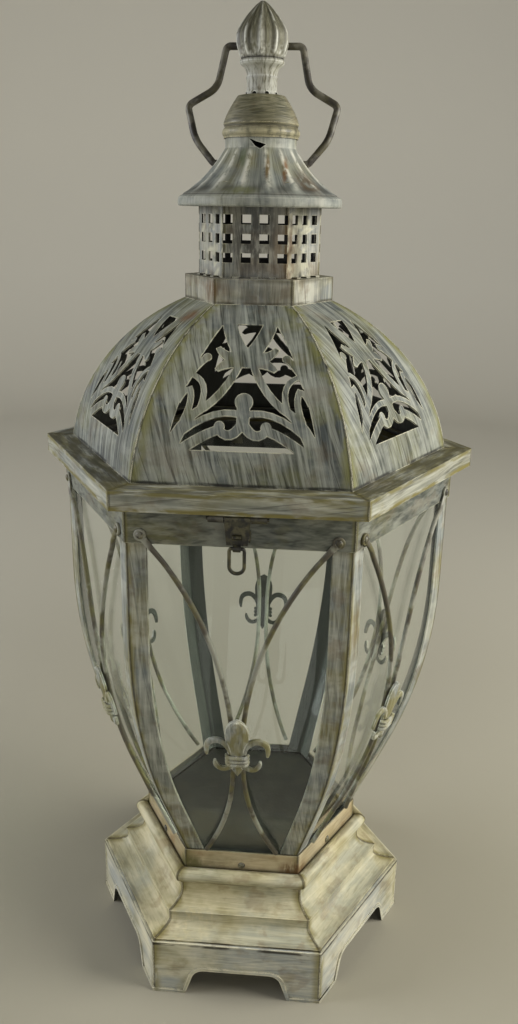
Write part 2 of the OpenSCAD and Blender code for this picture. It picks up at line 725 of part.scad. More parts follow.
module scroll_half() {
    // Main stem from the blossom down to the lower corner
    ribbon(sp(0.12, 0.66), sp(0.3, 0.38), sp(0.72, 0.26), stem_w, stem_w);
    ribbon(sp(0.66, 0.285), sp(0.92, 0.18), sp(0.97, -0.06), stem_w, 2 * stem_w);
    // Upper petal of the blossom
    ribbon(sp(0, 0.67), sp(0.42, 0.82), sp(0.86, 1.03), 2.2 * stem_w, 1.9 * stem_w);
    // Side petal with its two tips
    ribbon(sp(0, 0.69), sp(0.42, 0.66), sp(0.72, 0.775), 2.4 * stem_w, 0.7 * stem_w);
    ribbon(sp(0, 0.68), sp(0.45, 0.65), sp(0.57, 0.585), 2.4 * stem_w, 0.6 * stem_w);
    // Tendril that leaves the stem and curls against the window's side
    ribbon(sp(0.66, 0.3), sp(0.6, 0.5), sp(1.01, 0.55), 0.8 * stem_w, 0.7 * stem_w);
    ribbon(sp(1.06, 0.47), sp(1.04, 0.6), sp(0.86, 0.69), stem_w, 0.9 * stem_w);
    // Leaf beside the stem
    ribbon(sp(0.86, 0.2), sp(0.78, 0.36), sp(0.94, 0.45), 0.9 * stem_w, 0.8 * stem_w);
    ribbon(sp(0.91, 0.43), sp(1.0, 0.44), sp(1.04, 0.34), 0.7 * stem_w, 0.8 * stem_w);
    // Arm from the bud to the stem
    ribbon(sp(0, 0.25), sp(0.42, 0.32), sp(0.84, 0.12), 0.9 * stem_w, 0.7 * stem_w);
    // Wavy lower leaf from the bud to the corner
    ribbon(sp(0, 0.2), sp(0.16, 0.05), sp(0.34, 0.15), 1.3 * stem_w, 1.1 * stem_w);
    ribbon(sp(0.3, 0.15), sp(0.52, 0.13), sp(0.9, -0.04), 1.1 * stem_w, 1.3 * stem_w);
    // Foot of the bud
    ribbon(sp(0, 0.36), sp(0, 0.28), sp(0, 0.16), 1.7 * stem_w, 1.6 * stem_w, 2);
}

// The window's sheet round its edge
module window_frame() {
    edge = [for (i = [0 : 10]) let (s = window_h * i / 10) [window_half(s), drawn(s)]];
    difference() {
        square(2 * dome_r, center = true);
        polygon(concat(edge, mirrored(edge)));
    }
}

// Round places of the scroll: the bud, the blossom's heart and the knobs of the leaves
module scroll_rounds() {
    translate(sp(0, 0.35)) circle(1.15 * stem_w, $fn = 32);
    translate(sp(0, 0.69)) circle(1.5 * stem_w, $fn = 32);
    for (s = [-1, 1]) {
        translate(sp(0.86 * s, 0.69)) circle(0.58 * stem_w, $fn = 32);
        translate(sp(0.33 * s, 0.17)) circle(0.68 * stem_w, $fn = 32);
    }
}

module dome_panel(i) {
    color("slategray") at_side(i) intersection() {
        difference() {
            bar_along(dome_c[0], dome_c[1], dome_r, -reach / 2, reach / 2, 240);
            bar_along(dome_c[0], dome_c[1], dome_r - sheet, -reach, reach, 240);
        }
        side_wedge(ledge_top, dome_top + sheet, seat_gap);
        translate([box_flat + seat_gap, -reach, ledge_top]) cube([reach, 2 * reach, reach]);
        translate([dome_c[0], 0, dome_c[1]]) rotate([0, -window_mid, 0]) {
            on_side(dome_r / 2, dome_r) window_frame();
            on_side(dome_r / 2, dome_r) for (m = [0, 1]) mirror([m, 0]) scroll_half();
            on_side(dome_r / 2, dome_r) scroll_rounds();
        }
    }
}

module dome_box() {
    bottom = dome_top - box_drop;
    color("gainsboro") difference() {
        hex(box_flat, box_top - bottom, bottom);
        hex(box_flat - sheet, box_top - bottom, bottom - sheet);
        hex(chimney_flat - 2 * sheet, 4 * sheet, box_top - 2 * sheet);
    }
}

// ---- Chimney, canopy and finial ----

flank_foot = [rim_r - rim_h / 2, flank_bottom];
flank_c = arc_centre([neck_r, neck_z], flank_foot, flank_r);
// Radius of the canopy's flank at a height, and the height of its underside at a radius
function flank_at(z, t = 0) = flank_c[0] - sqrt(pow(flank_r + t, 2) - pow(flank_c[1] - z, 2));
function flank_under(r) = flank_c[1] - sqrt(pow(flank_r + sheet, 2) - pow(flank_c[0] - r, 2));

// Holes run round the chimney at two sevenths of a side, so the sides hold four and three by turns
module chimney() {
    columns = [4, 3];
    pitch = 2 * chimney_flat * side_tan * 2 / 7;
    top = flank_under(chimney_flat / cos(30)) - seat_gap;
    color("silver") {
        difference() {
            hex_ring(chimney_flat, chimney_flat - sheet, top - box_top, box_top);
            for (i = sides) at_side(i) for (row = [0 : 2]) for (k = [0 : columns[i % 2] - 1])
                translate([chimney_flat - 2 * sheet, (k - (columns[i % 2] - 1) / 2) * pitch - hole_w / 2,
                           box_top + hole_z + row * row_pitch - hole_h / 2])
                    cube([3 * sheet, hole_w, hole_h]);
        }
        at_sides() for (k = [-1 : 1])
            translate([chimney_flat - sheet / 2, k * pitch - tab_w / 2, box_top])
                cube([tab_w, tab_w, 0.8 * sheet]);
    }
}

bail_z = rim_bottom + bail_pivot_z;

// A spun sheet bell: a smooth rolled rim, a fluted flank and a neck under the cap
module canopy() {
    n = 6;
    rim = [[0, -0.8], [0.16, 0], [0.5, -0.3], [0.8, -1.5]];
    flank = [for (i = [0 : n]) let (t = i / n, z = flank_bottom + t * flank_h)
             [z, flank_at(z), ridge_h * min(1, 4 * t) * (1 - pow(t, 4))]];
    inside = [for (i = [0 : 4]) let (z = neck_z - i / 4 * flank_h - sheet / 4)
              [z, flank_at(z, sheet), 0]];
    rows = concat(
        [for (p = rim) [rim_bottom + p[0] * rim_h, rim_r + p[1], 0]], flank,
        [[canopy_top, neck_r, 0], [canopy_top, neck_r - sheet, 0]], inside,
        [[rim_bottom + 0.5 * rim_h, rim_r - 0.3 - sheet, 0], [rim_bottom, rim_r - 0.8 - sheet, 0]]);
    vent = 4;            // half width of the pointed slit under the bead in front
    color("silver") difference() {
        skin(ridged(rows, flutes), flutes * ridge_points, loop = true);
        translate([0, 0, bail_z]) rotate([0, 90, 0])
            cylinder(h = 4 * rim_r, r = bail_r + 2 * run_gap, center = true, $fn = 32);
        at_side(front_side) on_side(neck_r - 3 * sheet, 2 * neck_r)
            polygon([[-vent - 1, neck_z - 0.5], [vent, neck_z - 3.5], [0.5, neck_z - 5.5]]);
    }
}

// The cap slides over the canopy's neck and carries the finial
module canopy_cap() {
    bottom = neck_z + sheet / 2;
    cap_r = neck_r + cap_out;
    bore = neck_r + seat_gap;
    bead_mid = [cap_r - cap_bead_r, bottom + cap_bead_r];
    shoulder = bead_mid[1] + cap_bead_r;
    rise = cap_top - shoulder;
    bead = [for (a = [-45 : 15 : 60]) bead_mid + cap_bead_r * [cos(a), sin(a)]];
    cone = [[cap_r - 1.1, shoulder + 0.08 * rise], [cap_r - 1.3, shoulder + 0.16 * rise],
            [cap_top_r + 0.62 * (cap_r - cap_top_r), shoulder + 0.36 * rise],
            [cap_top_r + 0.6, cap_top - 0.6], [cap_top_r - 0.6, cap_top]];
    outer = concat([[bore, bottom], [bead[0][0], bottom]], bead, cone);
    inner = concat([for (p = reversed(cone)) p - [sheet, sheet]], [[bore, shoulder - sheet]]);
    color("darkkhaki") rotate_extrude($fn = 96)
        polygon(concat(outer, [[rod_r + seat_gap, cap_top], [rod_r + seat_gap, cap_top - sheet]], inner));
}

module finial() {
    foot_r = 0.61 * bulb_r;
    cup_r = bulb_r - 1.2;
    stem = concat(
        [[0, cap_top], [foot_r, cap_top], [foot_r, cap_top + 0.08 * stem_h]],
        curve([0.94 * foot_r, cap_top + 0.12 * stem_h], [0.9 * foot_r, cap_top + 0.34 * stem_h],
              [foot_r - 0.2, cap_top + 0.5 * stem_h]),
        curve([0.92 * foot_r, cap_top + 0.54 * stem_h], [0.96 * foot_r, cap_top + 0.75 * stem_h],
              [0.8 * bulb_r, cap_top + 0.82 * stem_h]),
        [[cup_r, cap_top + 0.97 * stem_h], [cup_r, bulb_bottom], [0, bulb_bottom]]);
    // The bulb's outline, as shares of its radius and height
    outline = concat(curve([0.88, 0], [1.05, 0.1], [1, 0.27], 4),
                     curve([0.985, 0.36], [0.9, 0.54], [0.06, 1], 6));
    rows = [for (p = outline) let (deep = lobe_depth * min(p[0], 1) * min(1, 6 * p[1] + 0.2))
            [bulb_bottom + p[1] * bulb_h, p[0] * bulb_r - deep, deep]];
    notches = 8;
    color("gainsboro") difference() {
        union() {
            rotate_extrude() polygon(stem);
            skin(ridged(rows, lobes), lobes * ridge_points);
        }
        translate([0, 0, cap_top - 1]) cylinder(h = rod_up + 1 + seat_gap, r = rod_r + seat_gap);
        for (k = [0.5 : notches]) rotate(k * 360 / notches) translate([foot_r - 2, 0, cap_top + 0.4])
            rotate([0, 90, 0]) cylinder(h = 4, r = 1.3, $fn = 24);
    }
}

rod_up = stem_h + 6;     // length of the rod inside the finial
rod_tail = 2;            // length of the rod below its nut

module finial_rod() {
    bottom = cap_top - sheet - nut_h - rod_tail;
    color("gray") translate([0, 0, bottom]) cylinder(h = cap_top + rod_up - bottom, r = rod_r);
}

module finial_nut() {
    color("gray") difference() {
        hex(nut_flat, nut_h, cap_top - sheet - nut_h);
        translate([0, 0, cap_top - 4 * nut_h]) cylinder(h = 4 * nut_h, r = rod_r + seat_gap / 2);
    }
}

// ---- Bail handle, leaning on the back of the finial ----

bail_lean = asin((bulb_r + bail_r + run_gap) / bail_len);

module bail() {
    out_x = flank_at(bail_z);
    half = [[out_x - bail_end, 0], [out_x + bail_stub, 0], [knee_w, knee_s], [shoulder_w, shoulder_s],
            [bail_neck_w, bail_neck_s], [grip_w, bail_len]];
    bends = [2.4, 24, 4, 12, 3];
    flat = bent(concat(half, mirrored(half)), concat(bends, reversed(bends)));
    path = [for (p = flat) [p[0], p[1] * sin(bail_lean), bail_z + p[1] * cos(bail_lean)]];
    color("dimgray") swept_wire(path, bail_r, [0, cos(bail_lean), -sin(bail_lean)]);
}

// ---- Hinge at the back ----

hinge_x = band_flat + knuckle_r + run_gap;
hinge_z = ledge_bottom - knuckle_r - run_gap;
knuckle_end = hinge_w / 6 - run_gap / 2;     // half width of the middle knuckle
leaf_clear_r = knuckle_r + run_gap;          // the upper leaf keeps this far from the hinge's axis
upper_leaf_in = hinge_x + sqrt(pow(leaf_clear_r, 2) - pow(leaf_clear_r - sheet, 2));
upper_leaf_out = ledge_flat - sheet;
upper_leaf_mid = upper_leaf_out - ledge_head_r - seat_gap;

module hinge_rivet_places() {
    for (s = [-1, 1]) translate([body_flat, s * 0.35 * hinge_w, hinge_z - 0.62 * leaf_h]) children();
}

// Upright rivets through a leaf under the ledge, their heads inside it
module lid_rivet_places(x, w) {
    for (s = [-1, 1]) translate([x, s * 0.38 * w, ledge_bottom - sheet]) rotate([0, -90, 0]) children();
}

module hinge_lower_leaf() {
    color("dimgray") at_side(back_side) difference() {
        union() {
            translate([band_flat, -hinge_w / 2, hinge_z - leaf_h]) cube([sheet, hinge_w, leaf_h]);
            for (m = [0, 1]) mirror([0, m, 0])
                bar_along(hinge_x, hinge_z, knuckle_r, knuckle_end + run_gap, hinge_w / 2);
        }
        translate([band_flat - 1, -knuckle_end - run_gap, hinge_z - knuckle_r - run_gap])
            cube([2 * knuckle_r, 2 * (knuckle_end + run_gap), 3 * knuckle_r]);
        bar_along(hinge_x, hinge_z, pin_r + pin_gap, -hinge_w, hinge_w);
        hinge_rivet_places() rivet_hole(0, 3 * sheet);
    }
}

module hinge_upper_leaf() {
    color("dimgray") at_side(back_side) difference() {
        union() {
            translate([upper_leaf_in, -hinge_w / 2, ledge_bottom - sheet])
                cube([upper_leaf_out - upper_leaf_in, hinge_w, sheet]);
            translate([hinge_x, -knuckle_end, ledge_bottom - sheet])
                cube([upper_leaf_out - hinge_x, 2 * knuckle_end, sheet]);
            bar_along(hinge_x, hinge_z, knuckle_r, -knuckle_end, knuckle_end);
        }
        bar_along(hinge_x, hinge_z, pin_r + pin_gap, -hinge_w, hinge_w);
        lid_rivet_places(upper_leaf_mid, hinge_w) rivet_hole(-sheet, 3 * sheet);
    }
}

module hinge_pin() {
    end = hinge_w / 2 + seat_gap;
    color("gray") at_side(back_side) {
        bar_along(hinge_x, hinge_z, pin_r, -end, end);
        for (m = [0, 1]) mirror([0, m, 0]) bar_along(hinge_x, hinge_z, pin_r + 0.6, end, end + 0.8);
    }
}

// ---- Hasp in front ----

ear_r = hasp_knuckle_r + run_gap;
hasp_x = ledge_flat - ear_r - seat_gap;
hasp_z = ledge_bottom - ear_r;
hasp_face = hasp_x + hasp_knuckle_r;         // outer face of the hasp's plate
bracket_in = band_flat + run_gap + 0.2;
bracket_mid = (bracket_in + hasp_x - ear_r) / 2;
ring_knuckle_r = ring_r + pin_gap + 0.8;
ring_x = hasp_face - sheet + ring_knuckle_r;
ring_z = hasp_z - hasp_len;
keeper_z = hasp_z - keeper_drop;

module lid_rivets() {
    color("gray") {
        at_side(back_side) lid_rivet_places(upper_leaf_mid, hinge_w) rivet(2 * sheet, ledge_head_r);
        at_side(front_side) lid_rivet_places(bracket_mid, 2 * bracket_w) rivet(2 * sheet, ledge_head_r);
    }
}

module hasp_bracket() {
    notch = hasp_w + run_gap;
    color("dimgray") at_side(front_side) difference() {
        union() {
            translate([bracket_in, -bracket_w, ledge_bottom - sheet])
                cube([hasp_x - bracket_in, 2 * bracket_w, sheet]);
            for (m = [0, 1]) mirror([0, m, 0]) bar_along(hasp_x, hasp_z, ear_r, notch, bracket_w);
        }
        translate([hasp_x - ear_r, -notch, hasp_z]) cube([2 * ear_r, 2 * notch, 2 * ear_r]);
        bar_along(hasp_x, hasp_z, pin_r + pin_gap, -2 * bracket_w, 2 * bracket_w);
        lid_rivet_places(bracket_mid, 2 * bracket_w) rivet_hole(-sheet, 3 * sheet);
    }
}

module hasp_pin() {
    half = bracket_w + sheet;
    color("gray") at_side(front_side) bar_along(hasp_x, hasp_z, pin_r, -half, half);
}

module hasp_tongue() {
    shoulder = ring_z + ring_r + run_gap;
    slot = keeper_w + 0.5;
    color("dimgray") at_side(front_side) difference() {
        union() {
            bar_along(hasp_x, hasp_z, hasp_knuckle_r, -hasp_w, hasp_w);
            on_side(hasp_face - sheet, sheet) {
                polygon([[-hasp_w, hasp_z], [-hasp_low_w, shoulder],
                         [hasp_low_w, shoulder], [hasp_w, hasp_z]]);
                translate([-tab_half, ring_z]) square([2 * tab_half, hasp_len / 2]);
            }
            bar_along(ring_x, ring_z, ring_knuckle_r, -tab_half, tab_half);
        }
        bar_along(hasp_x, hasp_z, pin_r + pin_gap, -2 * hasp_w, 2 * hasp_w);
        bar_along(ring_x, ring_z, ring_r + pin_gap, -hasp_w, hasp_w);
        translate([hasp_face - 2 * sheet, -slot, keeper_z - keeper_t / 2 - 1.1])
            cube([3 * sheet, 2 * slot, keeper_t + 1.8]);
    }
}

// A closed loop with a straight bar through the hasp's lower knuckle
module hasp_ring() {
    corner = 1.5;
    foot = -ring_len + ring_w;
    half = concat(bend([0, 0], [ring_w, 0], [ring_w, foot], corner, 3),
                  [for (a = [0 : -18 : -72]) [ring_w * cos(a), foot + ring_w * sin(a)]]);
    loop = concat(half, [[0, -ring_len]], mirrored(half), [[0, 0]]);
    color("dimgray") at_side(front_side)
        swept_wire([for (p = loop) [ring_x, p[0], ring_z + p[1]]], ring_r, [1, 0, 0], loop = true);
}

keeper_plate = 6.4;      // half width of the keeper's plate

module keeper_rivet_places() {
    for (s = [-1, 1]) translate([body_flat, s * 0.6 * keeper_plate, keeper_z - 3.4]) children();
}

module hasp_keeper() {
    tip = hasp_face + keeper_out;
    color("dimgray") at_side(front_side) difference() {
        union() {
            translate([band_flat, -keeper_plate, keeper_z - 6.2]) cube([sheet, 2 * keeper_plate, 6.8]);
            translate([band_flat, -keeper_w, keeper_z - keeper_t / 2])
                cube([tip - band_flat, 2 * keeper_w, keeper_t]);
        }
        keeper_rivet_places() rivet_hole(0, 3 * sheet);
    }
}

// ---- The pieces ----

function numbered(name) = [for (i = sides) str(name, "_", i + 1)];
foot_skirt_front();
foot_skirt_back();
base_plinth();
bead_ring();
base_collar();
collar_screws();
floor_plate();
for (i = sides) corner_post(i);
for (i = sides) glass_pane(i);
top_band();
glass_clips();
for (i = sides) scroll_wires(i);
for (i = sides) lily(i);
band_rivets();
hinge_lower_leaf();
hinge_pin();
hasp_keeper();
ledge_rim();
for (i = sides) dome_panel(i);
dome_box();
chimney();
canopy();
canopy_cap();
finial();
finial_rod();
finial_nut();
hinge_upper_leaf();
lid_rivets();
hasp_bracket();
hasp_pin();
bail();
hasp_tongue();
hasp_ring();
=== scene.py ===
"""Looks of a hexagonal candle lantern, dressed round its solid model.

Sheet steel and cast pieces under a hand-brushed antique wash, bent sheet glass, a plain studio.
Sizes are in millimetres until a mesh is finished, and in metres after that.
"""

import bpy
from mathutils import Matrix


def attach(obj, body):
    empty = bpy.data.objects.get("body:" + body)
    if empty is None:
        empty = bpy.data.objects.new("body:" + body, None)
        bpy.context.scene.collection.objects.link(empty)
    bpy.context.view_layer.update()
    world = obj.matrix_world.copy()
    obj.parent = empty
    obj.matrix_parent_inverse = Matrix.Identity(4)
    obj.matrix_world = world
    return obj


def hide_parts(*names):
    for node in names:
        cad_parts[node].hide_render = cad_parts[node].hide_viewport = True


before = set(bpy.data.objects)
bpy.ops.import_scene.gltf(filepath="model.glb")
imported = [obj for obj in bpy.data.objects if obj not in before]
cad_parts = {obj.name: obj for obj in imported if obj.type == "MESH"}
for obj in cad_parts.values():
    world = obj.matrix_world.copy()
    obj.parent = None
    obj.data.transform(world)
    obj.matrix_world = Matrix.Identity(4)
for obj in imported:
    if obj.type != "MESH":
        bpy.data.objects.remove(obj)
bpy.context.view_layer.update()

import logging
import math
from dataclasses import dataclass
from enum import Enum
from functools import lru_cache
from typing import Callable, Iterable, Optional, Sequence, Union

import bmesh
import bpy
from mathutils import Matrix, Vector, noise

log = logging.getLogger("lantern")
MM = 0.001
SIDES = 6
Point = Sequence[float]
Socket = bpy.types.NodeSocket


# ---- Colours and nodes ----

def srgb(code: str) -> tuple[float, float, float, float]:
    """Turns a hex sRGB colour into linear light.

    Args:
        code: The colour as #rrggbb.

    Returns:
        Linear red, green, blue and an alpha of 1.
    """
    shares = [int(code[i:i + 2], 16) / 255 for i in (1, 3, 5)]
    linear = [s / 12.92 if s <= 0.04045 else ((s + 0.055) / 1.055) ** 2.4 for s in shares]
    return (*linear, 1.0)


def add(tree: bpy.types.NodeTree, kind: str, inputs: Optional[dict] = None, **settings) -> bpy.types.Node:
    """Adds a node with its settings, values and links.

    Args:
        tree: The material's node tree.
        kind: The node's type without its ShaderNode prefix.
        inputs: Values or sockets by input name or number.
        **settings: Properties of the node.

    Returns:
        The new node.
    """
    node = tree.nodes.new("ShaderNode" + kind)
    for name, value in settings.items():
        setattr(node, name, value)
    for key, value in (inputs or {}).items():
        if isinstance(value, Socket):
            tree.links.new(value, node.inputs[key])
        else:
            node.inputs[key].default_value = value
    return node


def fresh_material(name: str) -> tuple[bpy.types.Material, bpy.types.NodeTree, Socket]:
    """Makes an empty material.

    Args:
        name: The material's name.

    Returns:
        The material, its tree and its surface socket.
    """
    material = bpy.data.materials.new(name)
    material.use_nodes = True
    tree = material.node_tree
    tree.nodes.clear()
    output = add(tree, "OutputMaterial")
    return material, tree, output.inputs["Surface"]


class Brush(Enum):
    """How the wash went on: the length of its broad strokes outwards, along and up, in mm."""
    AROUND = (6.0, 120.0, 6.0)
    UPRIGHT = (6.0, 6.0, 110.0)
    SLOPE = (70.0, 6.0, 90.0)
    DABBED = (10.0, 24.0, 10.0)
    SPUN = (30.0, 60.0, 2.2)


class Lie(Enum):
    """Which way a pattern turns as it goes round the lantern."""
    SIDES = "outwards, along and up on each of the six sides"
    ROUND = "outwards, round the axis and up"


@dataclass
class Coats:
    """The coats of one finish, laid over each other in a material."""
    tree: bpy.types.NodeTree
    place: Socket
    colour: Socket

    def pattern(self, lengths: Point, low: float, high: float, detail: float = 4.0,
                offset: float = 0.0, slant: float = 0.0) -> Socket:
        """Draws a mask of cloudy marks.

        Args:
            lengths: Real size of the marks outwards, along and up in mm.
            low: Noise value where the mask starts.
            high: Noise value where it is full.
            detail: Number of finer layers in the noise.
            offset: Shifts the marks by this many mm, so that two masks differ.
            slant: Turns the marks in the plane of their side, in degrees.

        Returns:
            The mask, from 0 to 1.
        """
        scaled = add(self.tree, "Mapping", {"Vector": self.place, "Location": (offset * MM,) * 3,
                                            "Rotation": (math.radians(slant), 0, 0),
                                            "Scale": [length * MM for length in lengths]},
                     vector_type="TEXTURE")
        cloud = add(self.tree, "TexNoise", {"Vector": scaled.outputs[0], "Scale": 1.0, "Detail": detail,
                                            "Roughness": 0.6, "Distortion": 0.2})
        ranged = add(self.tree, "MapRange", {0: cloud.outputs[0], 1: low, 2: high},
                     interpolation_type="SMOOTHSTEP")
        return ranged.outputs[0]

    def weigh(self, mask: Socket, other: Union[Socket, float]) -> Socket:
        """Weakens a mask by another mask or a number."""
        return add(self.tree, "Math", {0: mask, 1: other}, operation="MULTIPLY").outputs[0]

    def lay(self, code: str, mask: Union[Socket, float]) -> None:
        """Lays a coat over what is there.

        Args:
            code: The coat's colour in hex.
            mask: Where and how strongly it shows.
        """
        mixed = add(self.tree, "Mix", {0: mask, 6: self.colour, 7: srgb(code)}, data_type="RGBA")
        self.colour = mixed.outputs[2]


def laid_out(tree: bpy.types.NodeTree, lie: Lie) -> Socket:
    """Turns object coordinates so that they follow the lantern round.

    Args:
        tree: The material's node tree.
        lie: How they turn.

    Returns:
        The coordinates outwards, along and up, shifted from side to side so that none repeats.
    """
    place = add(tree, "TexCoord").outputs["Object"]
    part = add(tree, "SeparateXYZ", {0: place}).outputs
    if lie is Lie.ROUND:
        back = add(tree, "Math", {0: part["Y"], 1: -1.0}, operation="MULTIPLY").outputs[0]
        angle = add(tree, "Math", {0: part["X"], 1: back}, operation="ARCTAN2").outputs[0]
        round_it = add(tree, "Math", {0: angle, 1: 34 * MM}, operation="MULTIPLY").outputs[0]
        flat = add(tree, "CombineXYZ", {0: part["X"], 1: part["Y"], 2: 0.0}).outputs[0]
        out = add(tree, "VectorMath", {0: flat}, operation="LENGTH").outputs["Value"]
        return add(tree, "CombineXYZ", {0: out, 1: round_it, 2: part["Z"]}).outputs[0]
    angle = add(tree, "Math", {0: part["Y"], 1: part["X"]}, operation="ARCTAN2").outputs[0]
    sixths = add(tree, "Math", {0: angle, 1: math.pi / 3}, operation="DIVIDE").outputs[0]
    number = add(tree, "Math", {0: sixths}, operation="FLOOR").outputs[0]
    turn = add(tree, "Math", {0: number, 1: -math.pi / 3, 2: -math.pi / 6},
               operation="MULTIPLY_ADD").outputs[0]
    turned = add(tree, "VectorRotate", {"Vector": place, "Angle": turn}, rotation_type="Z_AXIS")
    shift = add(tree, "CombineXYZ", {2: number}).outputs[0]
    return add(tree, "VectorMath", {0: turned.outputs[0], 1: shift}, operation="ADD").outputs[0]


@dataclass(frozen=True)
class StainOrShade:
    """One patch of colour at a place on a piece: a stain, or in places painted shade."""
    code: str
    at: tuple[float, float, float]
    reach: tuple[float, float, float]
    strength: float = 0.8

    def mask(self, coats: Coats) -> Socket:
        """Draws the patch's soft and broken outline.

        Args:
            coats: The coats that it goes over.

        Returns:
            The stain's mask.
        """
        tree = coats.tree
        place = add(tree, "TexCoord").outputs["Object"]
        shifted = add(tree, "VectorMath", {0: place, 1: [v * MM for v in self.at]},
                      operation="SUBTRACT")
        scaled = add(tree, "VectorMath", {0: shifted.outputs[0], 1: [1 / (v * MM) for v in self.reach]},
                     operation="MULTIPLY")
        away = add(tree, "VectorMath", {0: scaled.outputs[0]}, operation="LENGTH")
        rounded = add(tree, "MapRange", {0: away.outputs["Value"], 1: 1.0, 2: 0.25},
                      interpolation_type="SMOOTHSTEP")
        broken = coats.pattern((4.0, 4.0, 12.0), 0.3, 0.56, offset=70.0 + self.at[0])
        return coats.weigh(coats.weigh(rounded.outputs[0], broken), self.strength)


@dataclass(frozen=True)
class DirtOrShadowLine:
    """A dark line along a level edge or crease, all the way round: dirt, or in places painted shadow under
    an overhang.
    """
    code: str
    z: float
    width: float = 1.2
    strength: float = 0.8

    def mask(self, coats: Coats) -> Socket:
        """Draws the line, broken along its length.

        Args:
            coats: The coats that it goes over.

        Returns:
            The line's mask.
        """
        tree = coats.tree
        height = add(tree, "SeparateXYZ", {0: add(tree, "TexCoord").outputs["Object"]}).outputs["Z"]
        away = add(tree, "Math", {0: height, 1: self.z * MM}, operation="SUBTRACT").outputs[0]
        away = add(tree, "Math", {0: away}, operation="ABSOLUTE").outputs[0]
        near = add(tree, "MapRange", {0: away, 1: self.width * MM, 2: self.width * 0.2 * MM},
                   interpolation_type="SMOOTHSTEP").outputs[0]
        broken = coats.pattern((5.0, 22.0, 5.0), 0.36, 0.56, 3.0, self.z)
        return coats.weigh(coats.weigh(near, broken), self.strength)


